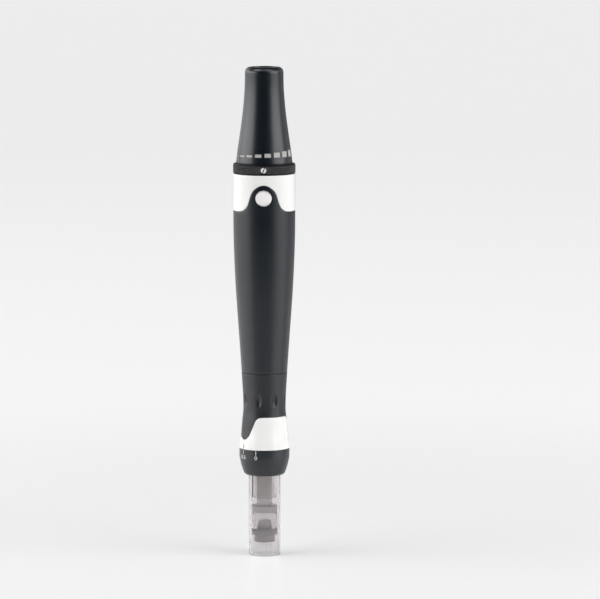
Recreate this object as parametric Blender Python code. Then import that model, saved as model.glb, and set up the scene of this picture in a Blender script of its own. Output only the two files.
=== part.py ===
# Microneedling pen with its needle cartridge, standing upright on the cartridge's foot.
# The pen's axis is +Z, the floor is at zero, and the power button faces -Y.
# Every piece is one closed solid, placed in metres. Angles are measured round +Z from +X.

import math

import bmesh
import bpy
from mathutils import Matrix, Vector

MM = 0.001

# Fits that many pieces share
GAP = 0.3 * MM  # between a piece and what it seats on or runs in
CLOSE_GAP = 0.2 * MM  # where a small piece has to stay closer
OVERRUN = 0.8 * MM  # how far a cutter passes the faces it cuts
MERGE = 0.001 * MM  # points nearer than this are one point

# Overall sizes, from the floor up
TUBE_LENGTH = 31.3 * MM
TUBE_SEAT = 2.3 * MM  # how much of the tube is inside the nose
DIAL_HEIGHT = 9.3 * MM
GRIP_LENGTH = 26.85 * MM  # lower collar and grip together
BARREL_LENGTH = 70.45 * MM
RING_HEIGHT = 3.3 * MM
CAP_LENGTH = 33.9 * MM

BARREL_RADIUS = 11.0 * MM
CAP_STEP = 1.02 * MM  # from the barrel's radius in to the cap's
CAP_TOP_RADIUS = 6.81 * MM
GRIP_RADIUS = 8.9 * MM  # at the collar's lower edge
NOSE_RADIUS = 6.7 * MM

SHELL_WALL = 1.1 * MM
COLLAR_WALL = 1.0 * MM
CAP_WALL = 1.4 * MM

# Outlines: share of the length from the lower end, share of the way from the smaller radius
# to the larger. The grip's gives the share of its radius, as it is narrowest in the middle.
CAP_OUTLINE_SHARES = (
    (0.0, 1.0),
    (0.13, 0.836),
    (0.27, 0.616),
    (0.41, 0.409),
    (0.55, 0.23),
    (0.69, 0.094),
    (0.82, 0.016),
    (1.0, 0.0),
)
BARREL_OUTLINE_SHARES = (
    (0.0, 0.0),
    (0.14, 0.225),
    (0.28, 0.466),
    (0.42, 0.695),
    (0.56, 0.863),
    (0.7, 0.966),
    (0.84, 0.989),
    (1.0, 1.0),
)
GRIP_OUTLINE_SHARES = (
    (0.0, 1.0),
    (0.1, 0.972),
    (0.22, 0.925),
    (0.36, 0.888),
    (0.5, 0.847),
    (0.66, 0.85),
    (0.82, 0.876),
    (1.0, 0.91),
)
DIAL_OUTLINE_SHARES = (
    (0.0, 0.0),
    (0.06, 0.25),
    (0.14, 0.4),
    (0.26, 0.57),
    (0.38, 0.73),
    (0.52, 0.85),
    (0.68, 0.97),
    (1.0, 1.0),
)
CAP_EDGE = 1.9 * MM  # rounding of the tail's rim

# Wavy edges: share of the spread to one side, share of the height
ARCH_SHARES = (
    (0.0, 1.0),
    (0.14, 0.97),
    (0.27, 0.885),
    (0.38, 0.775),
    (0.45, 0.63),
    (0.484, 0.518),
    (0.53, 0.36),
    (0.596, 0.207),
    (0.68, 0.11),
    (0.82, 0.03),
    (1.0, 0.0),
)
TONGUE_SHARES = (
    (0.0, 1.0),
    (0.12, 0.97),
    (0.22, 0.905),
    (0.32, 0.795),
    (0.418, 0.585),
    (0.521, 0.355),
    (0.63, 0.135),
    (0.77, 0.03),
    (1.0, 0.0),
)
UPPER_COLLAR_HEIGHT = 12.9 * MM
ARCH_HEIGHT = 9.65 * MM
ARCH_SPREAD = math.radians(55)
LOWER_COLLAR_HEIGHT = 11.5 * MM
TONGUE_DEPTH = 8.2 * MM
TONGUE_SPREAD = math.radians(56)  # on the side that faces the button, and its opposite
TONGUE_BACK_SPREAD = math.radians(74)
TONGUE_ANGLE = math.radians(-147.2)  # left of the front, seen from the button's side

# Round faces: how many sides each size of piece has
OUTER_SIDES = 32
INNER_SIDES = 20
SMALL_SIDES = 14
PIN_SIDES = 8

# Finger dimples round the grip
DIMPLE_COUNT = 8
DIMPLE_FIRST = math.radians(-103.6)
DIMPLE_WIDTH = 2.5 * MM
DIMPLE_HEIGHT = 5.4 * MM
DIMPLE_DEPTH = 0.5 * MM
DIMPLE_RISE = 17.4 * MM  # above the lower collar's bottom edge

# Speed ring, its hub and the resistance track that it wipes
RING_STANDOUT = 0.05 * MM  # past the barrel's radius
RING_SCREW_RADIUS = 1.0 * MM
RING_SCREW_SUNK = 0.15 * MM
SCREW_SLOT_WIDTH = 0.4 * MM
SCREW_SLOT_DEPTH = 0.45 * MM
SCREW_SLOT_TURN = math.radians(65)
HUB_WALL = 1.9 * MM
HUB_CLEARANCE = 0.4 * MM  # round the stem
HUB_DROP = 0.4 * MM  # how far the hub reaches below the ring
TRACK_THICKNESS = 0.5 * MM
WIPER_THICKNESS = 0.2 * MM
WIPER_WIDTH = 0.9 * MM
WIPER_ARC = math.radians(36)

# Bulkhead and stem that carry the tail
BULKHEAD_WALL = 0.6 * MM
BULKHEAD_FLOOR = 1.2 * MM
BULKHEAD_DEPTH = 2.6 * MM  # floor's underside below the ring's seat
STEM_WALL = 1.0 * MM
STEM_LENGTH = 12.4 * MM
CARRIER_CLEARANCE = 0.78 * MM  # inside the cap, which narrows past it
CARRIER_HEIGHT = 2.5 * MM
CARRIER_LIFT = 0.9 * MM

# Power inlet in the tail
JACK_RADIUS = 4.4 * MM
JACK_NOSE_RADIUS = 3.3 * MM
JACK_BORE = 2.85 * MM
JACK_LENGTH = 15.7 * MM
JACK_NOSE_LENGTH = 2.1 * MM
JACK_FLOOR = 4.0 * MM
JACK_PIN_RADIUS = 1.0 * MM
JACK_PIN_RECESS = 2.2 * MM
JACK_PIN_TAIL = 1.0 * MM
CAP_TOP_THICKNESS = 1.8 * MM
HOLDER_WALL = 0.8 * MM
HOLDER_HEIGHT = 4.0 * MM
HOLDER_LIFT = 0.6 * MM

# Power button and its switch
BUTTON_DROP = 7.9 * MM  # its centre below the ring's seat
BUTTON_RADIUS = 3.0 * MM
BUTTON_CROWN = 0.35 * MM
BUTTON_FLANGE_RADIUS = 3.9 * MM
BUTTON_FLANGE_THICKNESS = 0.6 * MM
BUTTON_SUNK = 0.1 * MM  # the crown's top inside the barrel's radius
BUTTON_TRAVEL = 0.5 * MM
SWITCH_PLUNGER_RADIUS = 1.1 * MM
SWITCH_SIZE = 4.5 * MM
SWITCH_THICKNESS = 1.3 * MM
GUIDE_WALL = 0.8 * MM
GUIDE_LENGTH = 2.1 * MM
SWITCH_CLEARANCE = 0.4 * MM  # left over when the button is pressed

# Circuit board with what it carries, and the chassis tube round it
BOARD_THICKNESS = 0.8 * MM
BOARD_HEIGHT = 22.0 * MM
CHIP_SIZE = (5.0 * MM, 1.2 * MM, 4.0 * MM)
CHIP_RISE = 8.6 * MM
CAPACITOR_RADIUS = 2.4 * MM
CAPACITOR_LENGTH = 6.6 * MM
CAPACITOR_RISE = 0.9 * MM
CONNECTOR_SIZE = (6.2 * MM, 3.0 * MM, 3.6 * MM)
CONNECTOR_RISE = 14.4 * MM
CHASSIS_CLEARANCE = 0.4 * MM  # inside the bulkhead's radius, as the barrel narrows
CHASSIS_WALL = 0.9 * MM
CHASSIS_LENGTH = 25.4 * MM
CHASSIS_FLOOR = 1.2 * MM
CHASSIS_HOLE = 4.2 * MM
WINDOW_CLEARANCE = 0.4 * MM  # each side of the button's guide
WINDOW_HEIGHT = 10.4 * MM

# Motor
MOTOR_CLEARANCE = 0.37 * MM  # from its cradle to the narrowing barrel
MOTOR_SHEET = 0.55 * MM
MOTOR_FLOOR = 0.8 * MM
MOTOR_NOSE_HOLE = 2.3 * MM
END_CAP_THICKNESS = 1.3 * MM
END_CAP_PLUG = 1.1 * MM
SHAFT_RADIUS = 0.75 * MM
BEARING_RADIUS = 2.0 * MM
BEARING_LENGTH = 2.8 * MM
BEARING_DROP = 1.4 * MM
MAGNET_WALL = 0.95 * MM
MAGNET_RISE = 1.2 * MM
MAGNET_DROP = 4.0 * MM  # its top below the can's rim
ARMATURE_INSET = 1.0 * MM  # inside each end of the magnet
CRADLE_WALL = 0.8 * MM
CRADLE_FLOOR = 1.7 * MM

# Face cam and its follower, which turn the shaft's half turn into the stroke
STROKE = 2.5 * MM
CAM_RADIUS = 4.9 * MM
CAM_RECESS_RADIUS = 1.8 * MM
CAM_RECESS_DEPTH = 0.5 * MM
CAM_BODY = 3.4 * MM  # solid height above the ramp's valley
CAM_DROP = 1.5 * MM  # its top below the cradle
CAM_SCREW_RADIUS = 0.6 * MM
CAM_SCREW_DROP = 1.3 * MM
PEG_RADIUS = 0.9 * MM
PEG_REACH = 3.3 * MM
PEG_GAP = 0.4 * MM  # under the ramp, which slopes across the peg
FOLLOWER_RADIUS = 5.1 * MM
FOLLOWER_WALL = 0.9 * MM
FOLLOWER_HEIGHT = 5.0 * MM
FOLLOWER_TOP = 2.0 * MM
FOLLOWER_SOCKET = 0.8 * MM  # how much of the top is left over the rod's seat
CAM_TO_FOLLOWER = 1.1 * MM  # from the ramp's peak to the follower's top
ROD_RADIUS = 1.5 * MM
ROD_TIP_RADIUS = 2.0 * MM
ROD_TIP_LENGTH = 1.3 * MM

# Frame that carries the mechanism through the grip
FRAME_BASE_RADIUS = 6.85 * MM
FRAME_BASE_HEIGHT = 2.5 * MM
FRAME_RADIUS = 6.1 * MM
FRAME_BORE = 5.2 * MM
FRAME_HEAD_RADIUS = 6.5 * MM
FRAME_HEAD_BORE = 5.4 * MM
FRAME_HEAD_DROP = 2.5 * MM  # where it widens, below the grip's upper edge
FRAME_LIFT = 3.4 * MM  # its foot above the lower collar's bottom edge
WEB_THICKNESS = 1.5 * MM
WEB_RISE = 14.0 * MM  # above the frame's foot
WEB_HOLE = 2.9 * MM
BUSH_RADIUS = 2.6 * MM
BUSH_FLANGE_RADIUS = 4.2 * MM
BUSH_FLANGE_THICKNESS = 0.8 * MM
BUSH_LENGTH = 4.1 * MM
KEY_RADIUS = 0.6 * MM
RETURN_SPRING_RADIUS = 2.9 * MM
RETURN_SPRING_WIRE = 0.25 * MM
RETURN_SPRING_TURNS = 7
SPRING_ROOM = 10.9 * MM  # from the bush up to the follower's roof

# Depth dial
DIAL_BORE = 5.9 * MM
DIAL_FLOOR = 1.6 * MM
DIAL_CAVITY = 7.0 * MM
DIAL_HUB_RADIUS = 7.1 * MM
DIAL_HUB_BORE = 6.5 * MM
DIAL_HUB_HEIGHT = 2.7 * MM
COLLAR_LIP_HEIGHT = 0.9 * MM
SNAP_RING_OUTER = 7.6 * MM
SNAP_RING_INNER = 6.9 * MM
SNAP_RING_THICKNESS = 0.5 * MM
SNAP_RING_RISE = 1.45 * MM
SNAP_RING_OPENING = math.radians(30)
FRICTION_RING_RADIUS = 6.9 * MM
FRICTION_RING_WIDTH = 0.6 * MM

# Depth scale: the dial's turn and the socket's travel from the reading at rest
DEPTH_STEP = 0.5 * MM
STEP_TURN = math.radians(37)
STEPS_DOWN = 1
STEPS_UP = 4

# Socket that holds the cartridge and rides up and down in the dial
SOCKET_RADIUS = 6.7 * MM
SOCKET_NECK_RADIUS = 6.2 * MM
SOCKET_SHANK_RADIUS = 4.6 * MM
SOCKET_SHANK_BORE = 3.3 * MM
SOCKET_BORE = 5.8 * MM
SOCKET_BOTTOM_LIFT = 2.4 * MM  # above the nose
SOCKET_SKIRT = 4.4 * MM
SOCKET_CEILING = 1.2 * MM
SHANK_LENGTH = 11.3 * MM
DEPTH_PIN_RADIUS = 0.6 * MM
DEPTH_PIN_RISE = 1.2 * MM
DEPTH_PIN_REACH = 7.4 * MM
TRACK_GROOVE_REACH = 7.6 * MM
PIN_CLEARANCE = 0.25 * MM
RETAINER_RISE = 2.5 * MM
RETAINER_HEIGHT = 0.8 * MM
RETAINER_INNER = 5.65 * MM
RETAINER_OUTER = 6.05 * MM
CARTRIDGE_KEY_RADIUS = 0.5 * MM
CARTRIDGE_KEY_REACH = 4.75 * MM
CARTRIDGE_KEY_DROP = 1.3 * MM
SOCKET_KEY_RISE = 4.5 * MM  # above the frame's foot
SOCKET_KEY_REACH = 4.05 * MM
FOLLOWER_KEY_RISE = 1.3 * MM  # above the follower's lower edge
FOLLOWER_KEY_REACH = 4.45 * MM

# Cartridge: clear tube and the core that plugs into it
TUBE_RADIUS = 5.6 * MM
TUBE_WALL = 0.75 * MM
FOOT_LIP = 0.3 * MM
FOOT_LIP_HEIGHT = 1.0 * MM
FOOT_EDGE = 0.25 * MM
CORE_RADIUS = 4.35 * MM
CORE_BORE = 3.0 * MM
CARRIAGE_ROOM = 2.3 * MM  # from the disc up to the core's sleeve
SPIGOT_LENGTH = 3.1 * MM
FLANGE_RADIUS = 5.5 * MM
LOWER_FLANGE = 1.8 * MM
FLANGE_GROOVE = 1.8 * MM
FLANGE_GROOVE_RADIUS = 4.25 * MM
UPPER_FLANGE = 2.0 * MM
NECK_RADIUS = 2.75 * MM
NECK_BORE = 2.25 * MM
NECK_LENGTH = 8.5 * MM
LEDGE_HOLE = 1.75 * MM
LEDGE_THICKNESS = 0.8 * MM
LEDGE_RISE = 1.1 * MM  # above the lower flange's underside
NOTCH_WIDTH = 1.6 * MM
NOTCH_REACH = 4.4 * MM

# Plunger, carriage and needles
COLUMN_RADIUS = 2.7 * MM
COLUMN_DROP = 0.9 * MM  # its top below the ledge
PLUNGER_RADIUS = 1.45 * MM
PLUNGER_COLLAR_RADIUS = 2.0 * MM
PLUNGER_COLLAR_HEIGHT = 2.0 * MM
PLUNGER_COLLAR_DROP = 0.3 * MM  # below the neck's rim
PLUNGER_STANDOUT = 6.6 * MM  # above the neck's rim
PLUNGER_CHAMFER = 0.3 * MM
SPRING_RADIUS = 1.85 * MM
SPRING_WIRE = 0.17 * MM
SPRING_TURNS = 8
DISC_RADIUS = 4.55 * MM
DISC_THICKNESS = 2.9 * MM
CUP_RADIUS = 4.5 * MM
CUP_WALL = 0.55 * MM
CUP_HEIGHT = 5.5 * MM
WIPER_RING_WALL = 0.6 * MM
WIPER_RING_HEIGHT = 2.0 * MM
BLOCK_RADIUS = 3.7 * MM
BLOCK_BOTTOM = 4.8 * MM
BLOCK_HEIGHT = 4.5 * MM
BLOCK_STEM_RADIUS = 2.7 * MM
BLOCK_STEM_TOP_RADIUS = 2.0 * MM
BLOCK_STEM_HEIGHT = 4.4 * MM
NEEDLE_RADIUS = 0.15 * MM
NEEDLE_LENGTH = 2.8 * MM
NEEDLE_POINT = 0.9 * MM
NEEDLE_COUNTS = (3, 9)
NEEDLE_ROW_RADII = (0.9 * MM, 2.5 * MM)
NEEDLE_SIDES = 6

# Internal leads
LEAD_RADIUS = 0.45 * MM
LEAD_SPACING = 1.5 * MM
LEAD_SPREAD = 4.8 * MM

# Heights worked out from the sizes above
DIAL_BOTTOM = TUBE_LENGTH - TUBE_SEAT
DIAL_TOP = DIAL_BOTTOM + DIAL_HEIGHT
COLLAR_BOTTOM = DIAL_TOP + GAP
COLLAR_TOP = COLLAR_BOTTOM + LOWER_COLLAR_HEIGHT
GRIP_TOP = COLLAR_BOTTOM + GRIP_LENGTH
BARREL_BOTTOM = GRIP_TOP + GAP
BARREL_TOP = BARREL_BOTTOM + BARREL_LENGTH
RING_BOTTOM = BARREL_TOP + GAP
RING_TOP = RING_BOTTOM + RING_HEIGHT
CAP_BOTTOM = RING_TOP + GAP
CAP_TOP = CAP_BOTTOM + CAP_LENGTH
BUTTON_HEIGHT = BARREL_TOP - BUTTON_DROP
BUTTON_FACE_REACH = BARREL_RADIUS - BUTTON_SUNK
# The flange's edge stays clear of the round wall in front of it
BUTTON_FLANGE_REACH = math.sqrt((BARREL_RADIUS - SHELL_WALL) ** 2 - BUTTON_FLANGE_RADIUS**2) - GAP
BUTTON_FLANGE_BACK = BUTTON_FLANGE_REACH - BUTTON_FLANGE_THICKNESS

# The barrel's mouth is flush with the grip, and the radii inside follow from the barrel's wall
BARREL_MOUTH_RADIUS = GRIP_RADIUS * GRIP_OUTLINE_SHARES[-1][1]
RING_RADIUS = BARREL_RADIUS + RING_STANDOUT
CAP_RADIUS = BARREL_RADIUS - CAP_STEP
BULKHEAD_RADIUS = BARREL_RADIUS - SHELL_WALL - GAP
TRACK_RADIUS = BULKHEAD_RADIUS - BULKHEAD_WALL - GAP
RING_BORE = TRACK_RADIUS - GAP
HUB_RADIUS = RING_BORE - GAP
HUB_BORE = HUB_RADIUS - HUB_WALL
STEM_RADIUS = HUB_BORE - HUB_CLEARANCE
CARRIER_RADIUS = CAP_RADIUS - CAP_WALL - CARRIER_CLEARANCE
CHASSIS_RADIUS = BULKHEAD_RADIUS - CHASSIS_CLEARANCE
CHASSIS_BORE = CHASSIS_RADIUS - CHASSIS_WALL
# The board stands behind the pressed button and its switch
BOARD_REACH = BUTTON_FLANGE_BACK - BUTTON_TRAVEL - SWITCH_CLEARANCE - SWITCH_THICKNESS - GAP
BOARD_WIDTH = 2 * (math.sqrt(CHASSIS_BORE**2 - BOARD_REACH**2) - GAP)

SOCKET_BOTTOM = DIAL_BOTTOM + SOCKET_BOTTOM_LIFT
LOWER_FLANGE_BOTTOM = TUBE_LENGTH + GAP
LOWER_FLANGE_TOP = LOWER_FLANGE_BOTTOM + LOWER_FLANGE
UPPER_FLANGE_BOTTOM = LOWER_FLANGE_TOP + FLANGE_GROOVE
UPPER_FLANGE_TOP = UPPER_FLANGE_BOTTOM + UPPER_FLANGE
NECK_TOP = UPPER_FLANGE_TOP + NECK_LENGTH
LEDGE_BOTTOM = LOWER_FLANGE_BOTTOM + LEDGE_RISE
LEDGE_TOP = LEDGE_BOTTOM + LEDGE_THICKNESS
PLUNGER_TOP = NECK_TOP + PLUNGER_STANDOUT
PLUNGER_COLLAR_TOP = NECK_TOP - PLUNGER_COLLAR_DROP
PLUNGER_COLLAR_BOTTOM = PLUNGER_COLLAR_TOP - PLUNGER_COLLAR_HEIGHT
BLOCK_TOP = BLOCK_BOTTOM + BLOCK_HEIGHT
CUP_BOTTOM = BLOCK_TOP + GAP
CUP_TOP = CUP_BOTTOM + CUP_HEIGHT
DISC_BOTTOM = CUP_TOP + GAP
DISC_TOP = DISC_BOTTOM + DISC_THICKNESS
COLUMN_BOTTOM = DISC_TOP + GAP
COLUMN_TOP = LEDGE_BOTTOM - COLUMN_DROP
CORE_BOTTOM = DISC_TOP + CARRIAGE_ROOM

SOCKET_STEP = SOCKET_BOTTOM + SOCKET_SKIRT
SOCKET_ROOF = UPPER_FLANGE_TOP + GAP
SOCKET_TOP = SOCKET_ROOF + SOCKET_CEILING
SHANK_TOP = SOCKET_TOP + SHANK_LENGTH

FRAME_BOTTOM = COLLAR_BOTTOM + FRAME_LIFT
FRAME_STEP = FRAME_BOTTOM + FRAME_BASE_HEIGHT
WEB_BOTTOM = FRAME_BOTTOM + WEB_RISE
WEB_TOP = WEB_BOTTOM + WEB_THICKNESS
FRAME_HEAD_BOTTOM = GRIP_TOP - FRAME_HEAD_DROP
BUSH_FLANGE_BOTTOM = WEB_TOP + GAP
BUSH_FLANGE_TOP = BUSH_FLANGE_BOTTOM + BUSH_FLANGE_THICKNESS
BUSH_BOTTOM = BUSH_FLANGE_TOP - BUSH_LENGTH

ROD_BOTTOM = PLUNGER_TOP + GAP
FOLLOWER_ROOF = BUSH_FLANGE_TOP + SPRING_ROOM
FOLLOWER_TOP_FACE = FOLLOWER_ROOF + FOLLOWER_TOP
FOLLOWER_BOTTOM = FOLLOWER_TOP_FACE - FOLLOWER_HEIGHT
CAM_PEAK = FOLLOWER_TOP_FACE + CAM_TO_FOLLOWER
CAM_VALLEY = CAM_PEAK + STROKE
CAM_TOP = CAM_VALLEY + CAM_BODY
PEG_TOP = CAM_VALLEY - PEG_GAP

CRADLE_BOTTOM = CAM_TOP + CAM_DROP
CRADLE_FLOOR_TOP = CRADLE_BOTTOM + CRADLE_FLOOR
FRAME_TOP = CRADLE_BOTTOM - GAP
MOTOR_BOTTOM = CRADLE_FLOOR_TOP + GAP
MOTOR_FLOOR_TOP = MOTOR_BOTTOM + MOTOR_FLOOR

# Hung from the tail's end: bulkhead, chassis, and the motor's upper end
BULKHEAD_BOTTOM = BARREL_TOP - BULKHEAD_DEPTH
BULKHEAD_FLOOR_TOP = BULKHEAD_BOTTOM + BULKHEAD_FLOOR
CHASSIS_TOP = BULKHEAD_BOTTOM - GAP
CHASSIS_BOTTOM = CHASSIS_TOP - CHASSIS_LENGTH
CHASSIS_FLOOR_TOP = CHASSIS_BOTTOM + CHASSIS_FLOOR
BOARD_BOTTOM = CHASSIS_FLOOR_TOP + GAP
END_CAP_TOP = CHASSIS_BOTTOM - GAP
END_CAP_BOTTOM = END_CAP_TOP - END_CAP_THICKNESS
MOTOR_TOP = END_CAP_BOTTOM - GAP
MAGNET_BOTTOM = MOTOR_FLOOR_TOP + MAGNET_RISE
MAGNET_TOP = MOTOR_TOP - MAGNET_DROP
STEM_TOP = BULKHEAD_BOTTOM + STEM_LENGTH
HUB_BOTTOM = RING_BOTTOM - HUB_DROP
TRACK_BOTTOM = BULKHEAD_FLOOR_TOP + CLOSE_GAP
JACK_TOP = CAP_TOP - GAP
JACK_BOTTOM = JACK_TOP - JACK_LENGTH
JACK_SHOULDER = JACK_TOP - JACK_NOSE_LENGTH

# Directions round the axis
FRONT = math.radians(-90)
BACK = math.radians(90)
RIGHT = 0.0


def material(name, colour, roughness, metallic=0.0, alpha=1.0):
    made = bpy.data.materials.new(name)
    made.use_nodes = True
    shader = made.node_tree.nodes["Principled BSDF"]
    shader.inputs["Base Color"].default_value = (*colour, 1.0)
    shader.inputs["Roughness"].default_value = roughness
    shader.inputs["Metallic"].default_value = metallic
    shader.inputs["Alpha"].default_value = alpha
    made.diffuse_color = (*colour, alpha)
    return made


def clear_scene():
    for old in list(bpy.data.objects):
        bpy.data.objects.remove(old, do_unlink=True)


def add_object(name, bm, finish):
    bmesh.ops.recalc_face_normals(bm, faces=bm.faces[:])
    mesh = bpy.data.meshes.new(name)
    bm.to_mesh(mesh)
    bm.free()
    mesh.shade_smooth()
    mesh.set_sharp_from_angle(angle=math.radians(35))
    made = bpy.data.objects.new(name, mesh)
    bpy.context.collection.objects.link(made)
    if finish:
        mesh.materials.append(finish)
    return made


def smooth_value(points, x):
    # Height of a smooth curve through points that are sorted by their first value
    if x <= points[0][0]:
        return points[0][1]
    if x >= points[-1][0]:
        return points[-1][1]
    i = max(k for k in range(len(points) - 1) if points[k][0] <= x)
    slopes = []
    for k in (i, i + 1):
        low, high = max(k - 1, 0), min(k + 1, len(points) - 1)
        slopes.append((points[high][1] - points[low][1]) / (points[high][0] - points[low][0]))
    width = points[i + 1][0] - points[i][0]
    t = (x - points[i][0]) / width
    start, end = points[i][1], points[i + 1][1]
    rise = start * (2 * t**3 - 3 * t**2 + 1) + end * (3 * t**2 - 2 * t**3)
    return rise + width * (slopes[0] * (t**3 - 2 * t**2 + t) + slopes[1] * (t**3 - t**2))


def around(radius, angle, height):
    return Vector((radius * math.cos(angle), radius * math.sin(angle), height))


def turned(name, profile, finish, sides=INNER_SIDES):
    # A closed profile of (radius, height) points, spun round the pen's axis
    bm = bmesh.new()
    verts = [bm.verts.new((r, 0, z)) for r, z in profile]
    edges = []
    for start, end in zip(verts, verts[1:] + verts[:1]):
        on_axis = start.co.x == 0 and end.co.x == 0
        if not on_axis:
            edges.append(bm.edges.new((start, end)))
    bmesh.ops.spin(
        bm,
        geom=verts + edges,
        cent=(0, 0, 0),
        axis=(0, 0, 1),
        angle=2 * math.pi,
        steps=sides,
        use_merge=True,
    )
    bmesh.ops.remove_doubles(bm, verts=bm.verts[:], dist=MERGE)
    return add_object(name, bm, finish)


def tube(name, inner, outer, low, high, finish, sides=INNER_SIDES):
    profile = ((inner, low), (outer, low), (outer, high), (inner, high))
    return turned(name, profile, finish, sides)


def swept_loop(name, angles, loop_at, finish, closed=True):
    # A closed loop of (radius, height) points carried round the axis, its shape free to
    # change with the angle; an open sweep gets a cap at each end
    bm = bmesh.new()
    rows = []
    for i, angle in enumerate(angles):
        rows.append([bm.verts.new(around(r, angle, z)) for r, z in loop_at(i, angle)])
    pairs = list(zip(rows, rows[1:]))
    if closed:
        pairs.append((rows[-1], rows[0]))
    else:
        bm.faces.new(rows[0])
        bm.faces.new(rows[-1])
    for here, there in pairs:
        for k in range(len(here)):
            after = (k + 1) % len(here)
            bm.faces.new((here[k], here[after], there[after], there[k]))
    return add_object(name, bm, finish)


def block(name, low, high, finish):
    bm = bmesh.new()
    bmesh.ops.create_cube(bm, size=1.0)
    size = Vector(high) - Vector(low)
    centre = (Vector(high) + Vector(low)) / 2
    bmesh.ops.transform(bm, matrix=Matrix.Translation(centre) @ Matrix.Diagonal((*size, 1)), verts=bm.verts)
    return add_object(name, bm, finish)


def radial_rod(name, angle, height, inner, outer, radius, finish, sides=PIN_SIDES):
    # A round rod that points straight out from the axis
    bm = bmesh.new()
    bmesh.ops.create_cone(
        bm, cap_ends=True, segments=sides, radius1=radius, radius2=radius, depth=outer - inner
    )
    bmesh.ops.translate(bm, verts=bm.verts, vec=(0, 0, (inner + outer) / 2))
    turn = Matrix.Rotation(angle, 4, "Z") @ Matrix.Rotation(math.radians(90), 4, "Y")
    bmesh.ops.transform(bm, matrix=Matrix.Translation((0, 0, height)) @ turn, verts=bm.verts)
    return add_object(name, bm, finish)


def cut(target, cutter, operation="DIFFERENCE"):
    cutter.hide_render = True
    cutter.display_type = "WIRE"
    change = target.modifiers.new(cutter.name, "BOOLEAN")
    change.operation = operation
    change.solver = "EXACT"
    change.object = cutter


def coil(name, mean_radius, wire, low, high, turns, finish, points_per_turn=8):
    # One open wire that climbs from the lower seat to the upper one
    count = turns * points_per_turn
    climb = (high - low - 2 * wire) / count
    start = low + wire
    points = [
        around(mean_radius, 2 * math.pi * i / points_per_turn, start + climb * i)
        for i in range(count + 1)
    ]
    pitch = climb * points_per_turn
    print(name, "least gap between turns, mm:", round((pitch - 2 * wire) / MM, 3))
    return wire_through(name, points, wire, finish)


def wire_through(name, points, radius, finish):
    curve = bpy.data.curves.new(name, "CURVE")
    curve.dimensions = "3D"
    curve.bevel_depth = radius
    curve.bevel_resolution = 1
    curve.use_fill_caps = True
    spline = curve.splines.new("POLY")
    spline.points.add(len(points) - 1)
    for target, place in zip(spline.points, points):
        target.co = (*place, 1.0)
    made = bpy.data.objects.new(name, curve)
    bpy.context.collection.objects.link(made)
    curve.materials.append(finish)
    return made


def radius_between(shares, small, large, low, length, height):
    share = smooth_value(shares, (height - low) / length)
    return small + (large - small) * share


def barrel_radius(height):
    return radius_between(BARREL_OUTLINE_SHARES, BARREL_MOUTH_RADIUS, BARREL_RADIUS, BARREL_BOTTOM,
                          BARREL_LENGTH, height)


def grip_radius(height):
    return GRIP_RADIUS * smooth_value(GRIP_OUTLINE_SHARES, (height - COLLAR_BOTTOM) / GRIP_LENGTH)


def cap_radius(height):
    return radius_between(CAP_OUTLINE_SHARES, CAP_TOP_RADIUS, CAP_RADIUS, CAP_BOTTOM, CAP_LENGTH, height)


def dial_radius(height):
    return radius_between(DIAL_OUTLINE_SHARES, NOSE_RADIUS, GRIP_RADIUS, DIAL_BOTTOM, DIAL_HEIGHT, height)


def wavy_edge(lobes, half_edge, flat_height, height_change, radius, offset):
    # Angles and heights of an edge that rises or falls in lobes, each given as its centre and
    # its spread before and after it. The whole edge is moved square to itself by the offset,
    # up where that is positive.
    edge = []
    for centre, before, after in lobes:
        lobe = [(centre + spread * a, flat_height + height_change * h)
                for spread in (-before, after) for a, h in half_edge]
        edge += sorted(set(lobe))
    step = 2 * math.pi / OUTER_SIDES
    again = [(lobes[0][0] + 2 * math.pi, lobes[0][1], lobes[0][2])]
    for lobe, following in zip(lobes, lobes[1:] + again):
        start, end = lobe[0] + lobe[2], following[0] - following[1]
        count = max(1, round((end - start) / step))
        edge += [(start + (end - start) * i / count, flat_height) for i in range(1, count)]
    edge.sort()
    moved = []
    for i, (angle, height) in enumerate(edge):
        before = edge[i - 1] if i else (edge[-1][0] - 2 * math.pi, edge[-1][1])
        after = edge[i + 1] if i + 1 < len(edge) else (edge[0][0] + 2 * math.pi, edge[0][1])
        along = Vector(((after[0] - before[0]) * radius, after[1] - before[1])).normalized()
        moved.append((angle - along.y * offset / radius, height + along.x * offset))
    return moved


def wavy_shell(name, edge, far_height, radius_at, wall, rows, finish, lip=None):
    # A thin shell between a wavy edge and a level one, which may have a lip inside, given
    # as its height and bore. rows counts the steps along the outer and the inner wall.
    angles = [angle for angle, _ in edge]
    outer_rows, inner_rows = rows

    def loop_at(i, _angle):
        near = edge[i][1]
        heights = [near + (far_height - near) * k / outer_rows for k in range(outer_rows + 1)]
        loop = [(radius_at(z), z) for z in heights]
        first = far_height
        if lip:
            first = far_height + lip[0]
            loop += [(lip[1], far_height), (lip[1], first)]
        heights = [first + (near - first) * k / inner_rows for k in range(inner_rows + 1)]
        return loop + [(radius_at(z) - wall, z) for z in heights]

    return swept_loop(name, angles, loop_at, finish)


def arch_edge(offset):
    flat = BARREL_TOP - UPPER_COLLAR_HEIGHT
    lobes = [(FRONT, ARCH_SPREAD, ARCH_SPREAD)]
    return wavy_edge(lobes, ARCH_SHARES, flat, ARCH_HEIGHT, BARREL_RADIUS, offset)


def tongue_edge(offset):
    lobes = [
        (TONGUE_ANGLE, TONGUE_BACK_SPREAD, TONGUE_SPREAD),
        (TONGUE_ANGLE + math.pi, TONGUE_SPREAD, TONGUE_BACK_SPREAD),
    ]
    middle = grip_radius(COLLAR_TOP)
    return wavy_edge(lobes, TONGUE_SHARES, COLLAR_TOP, -TONGUE_DEPTH, middle, offset)


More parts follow.
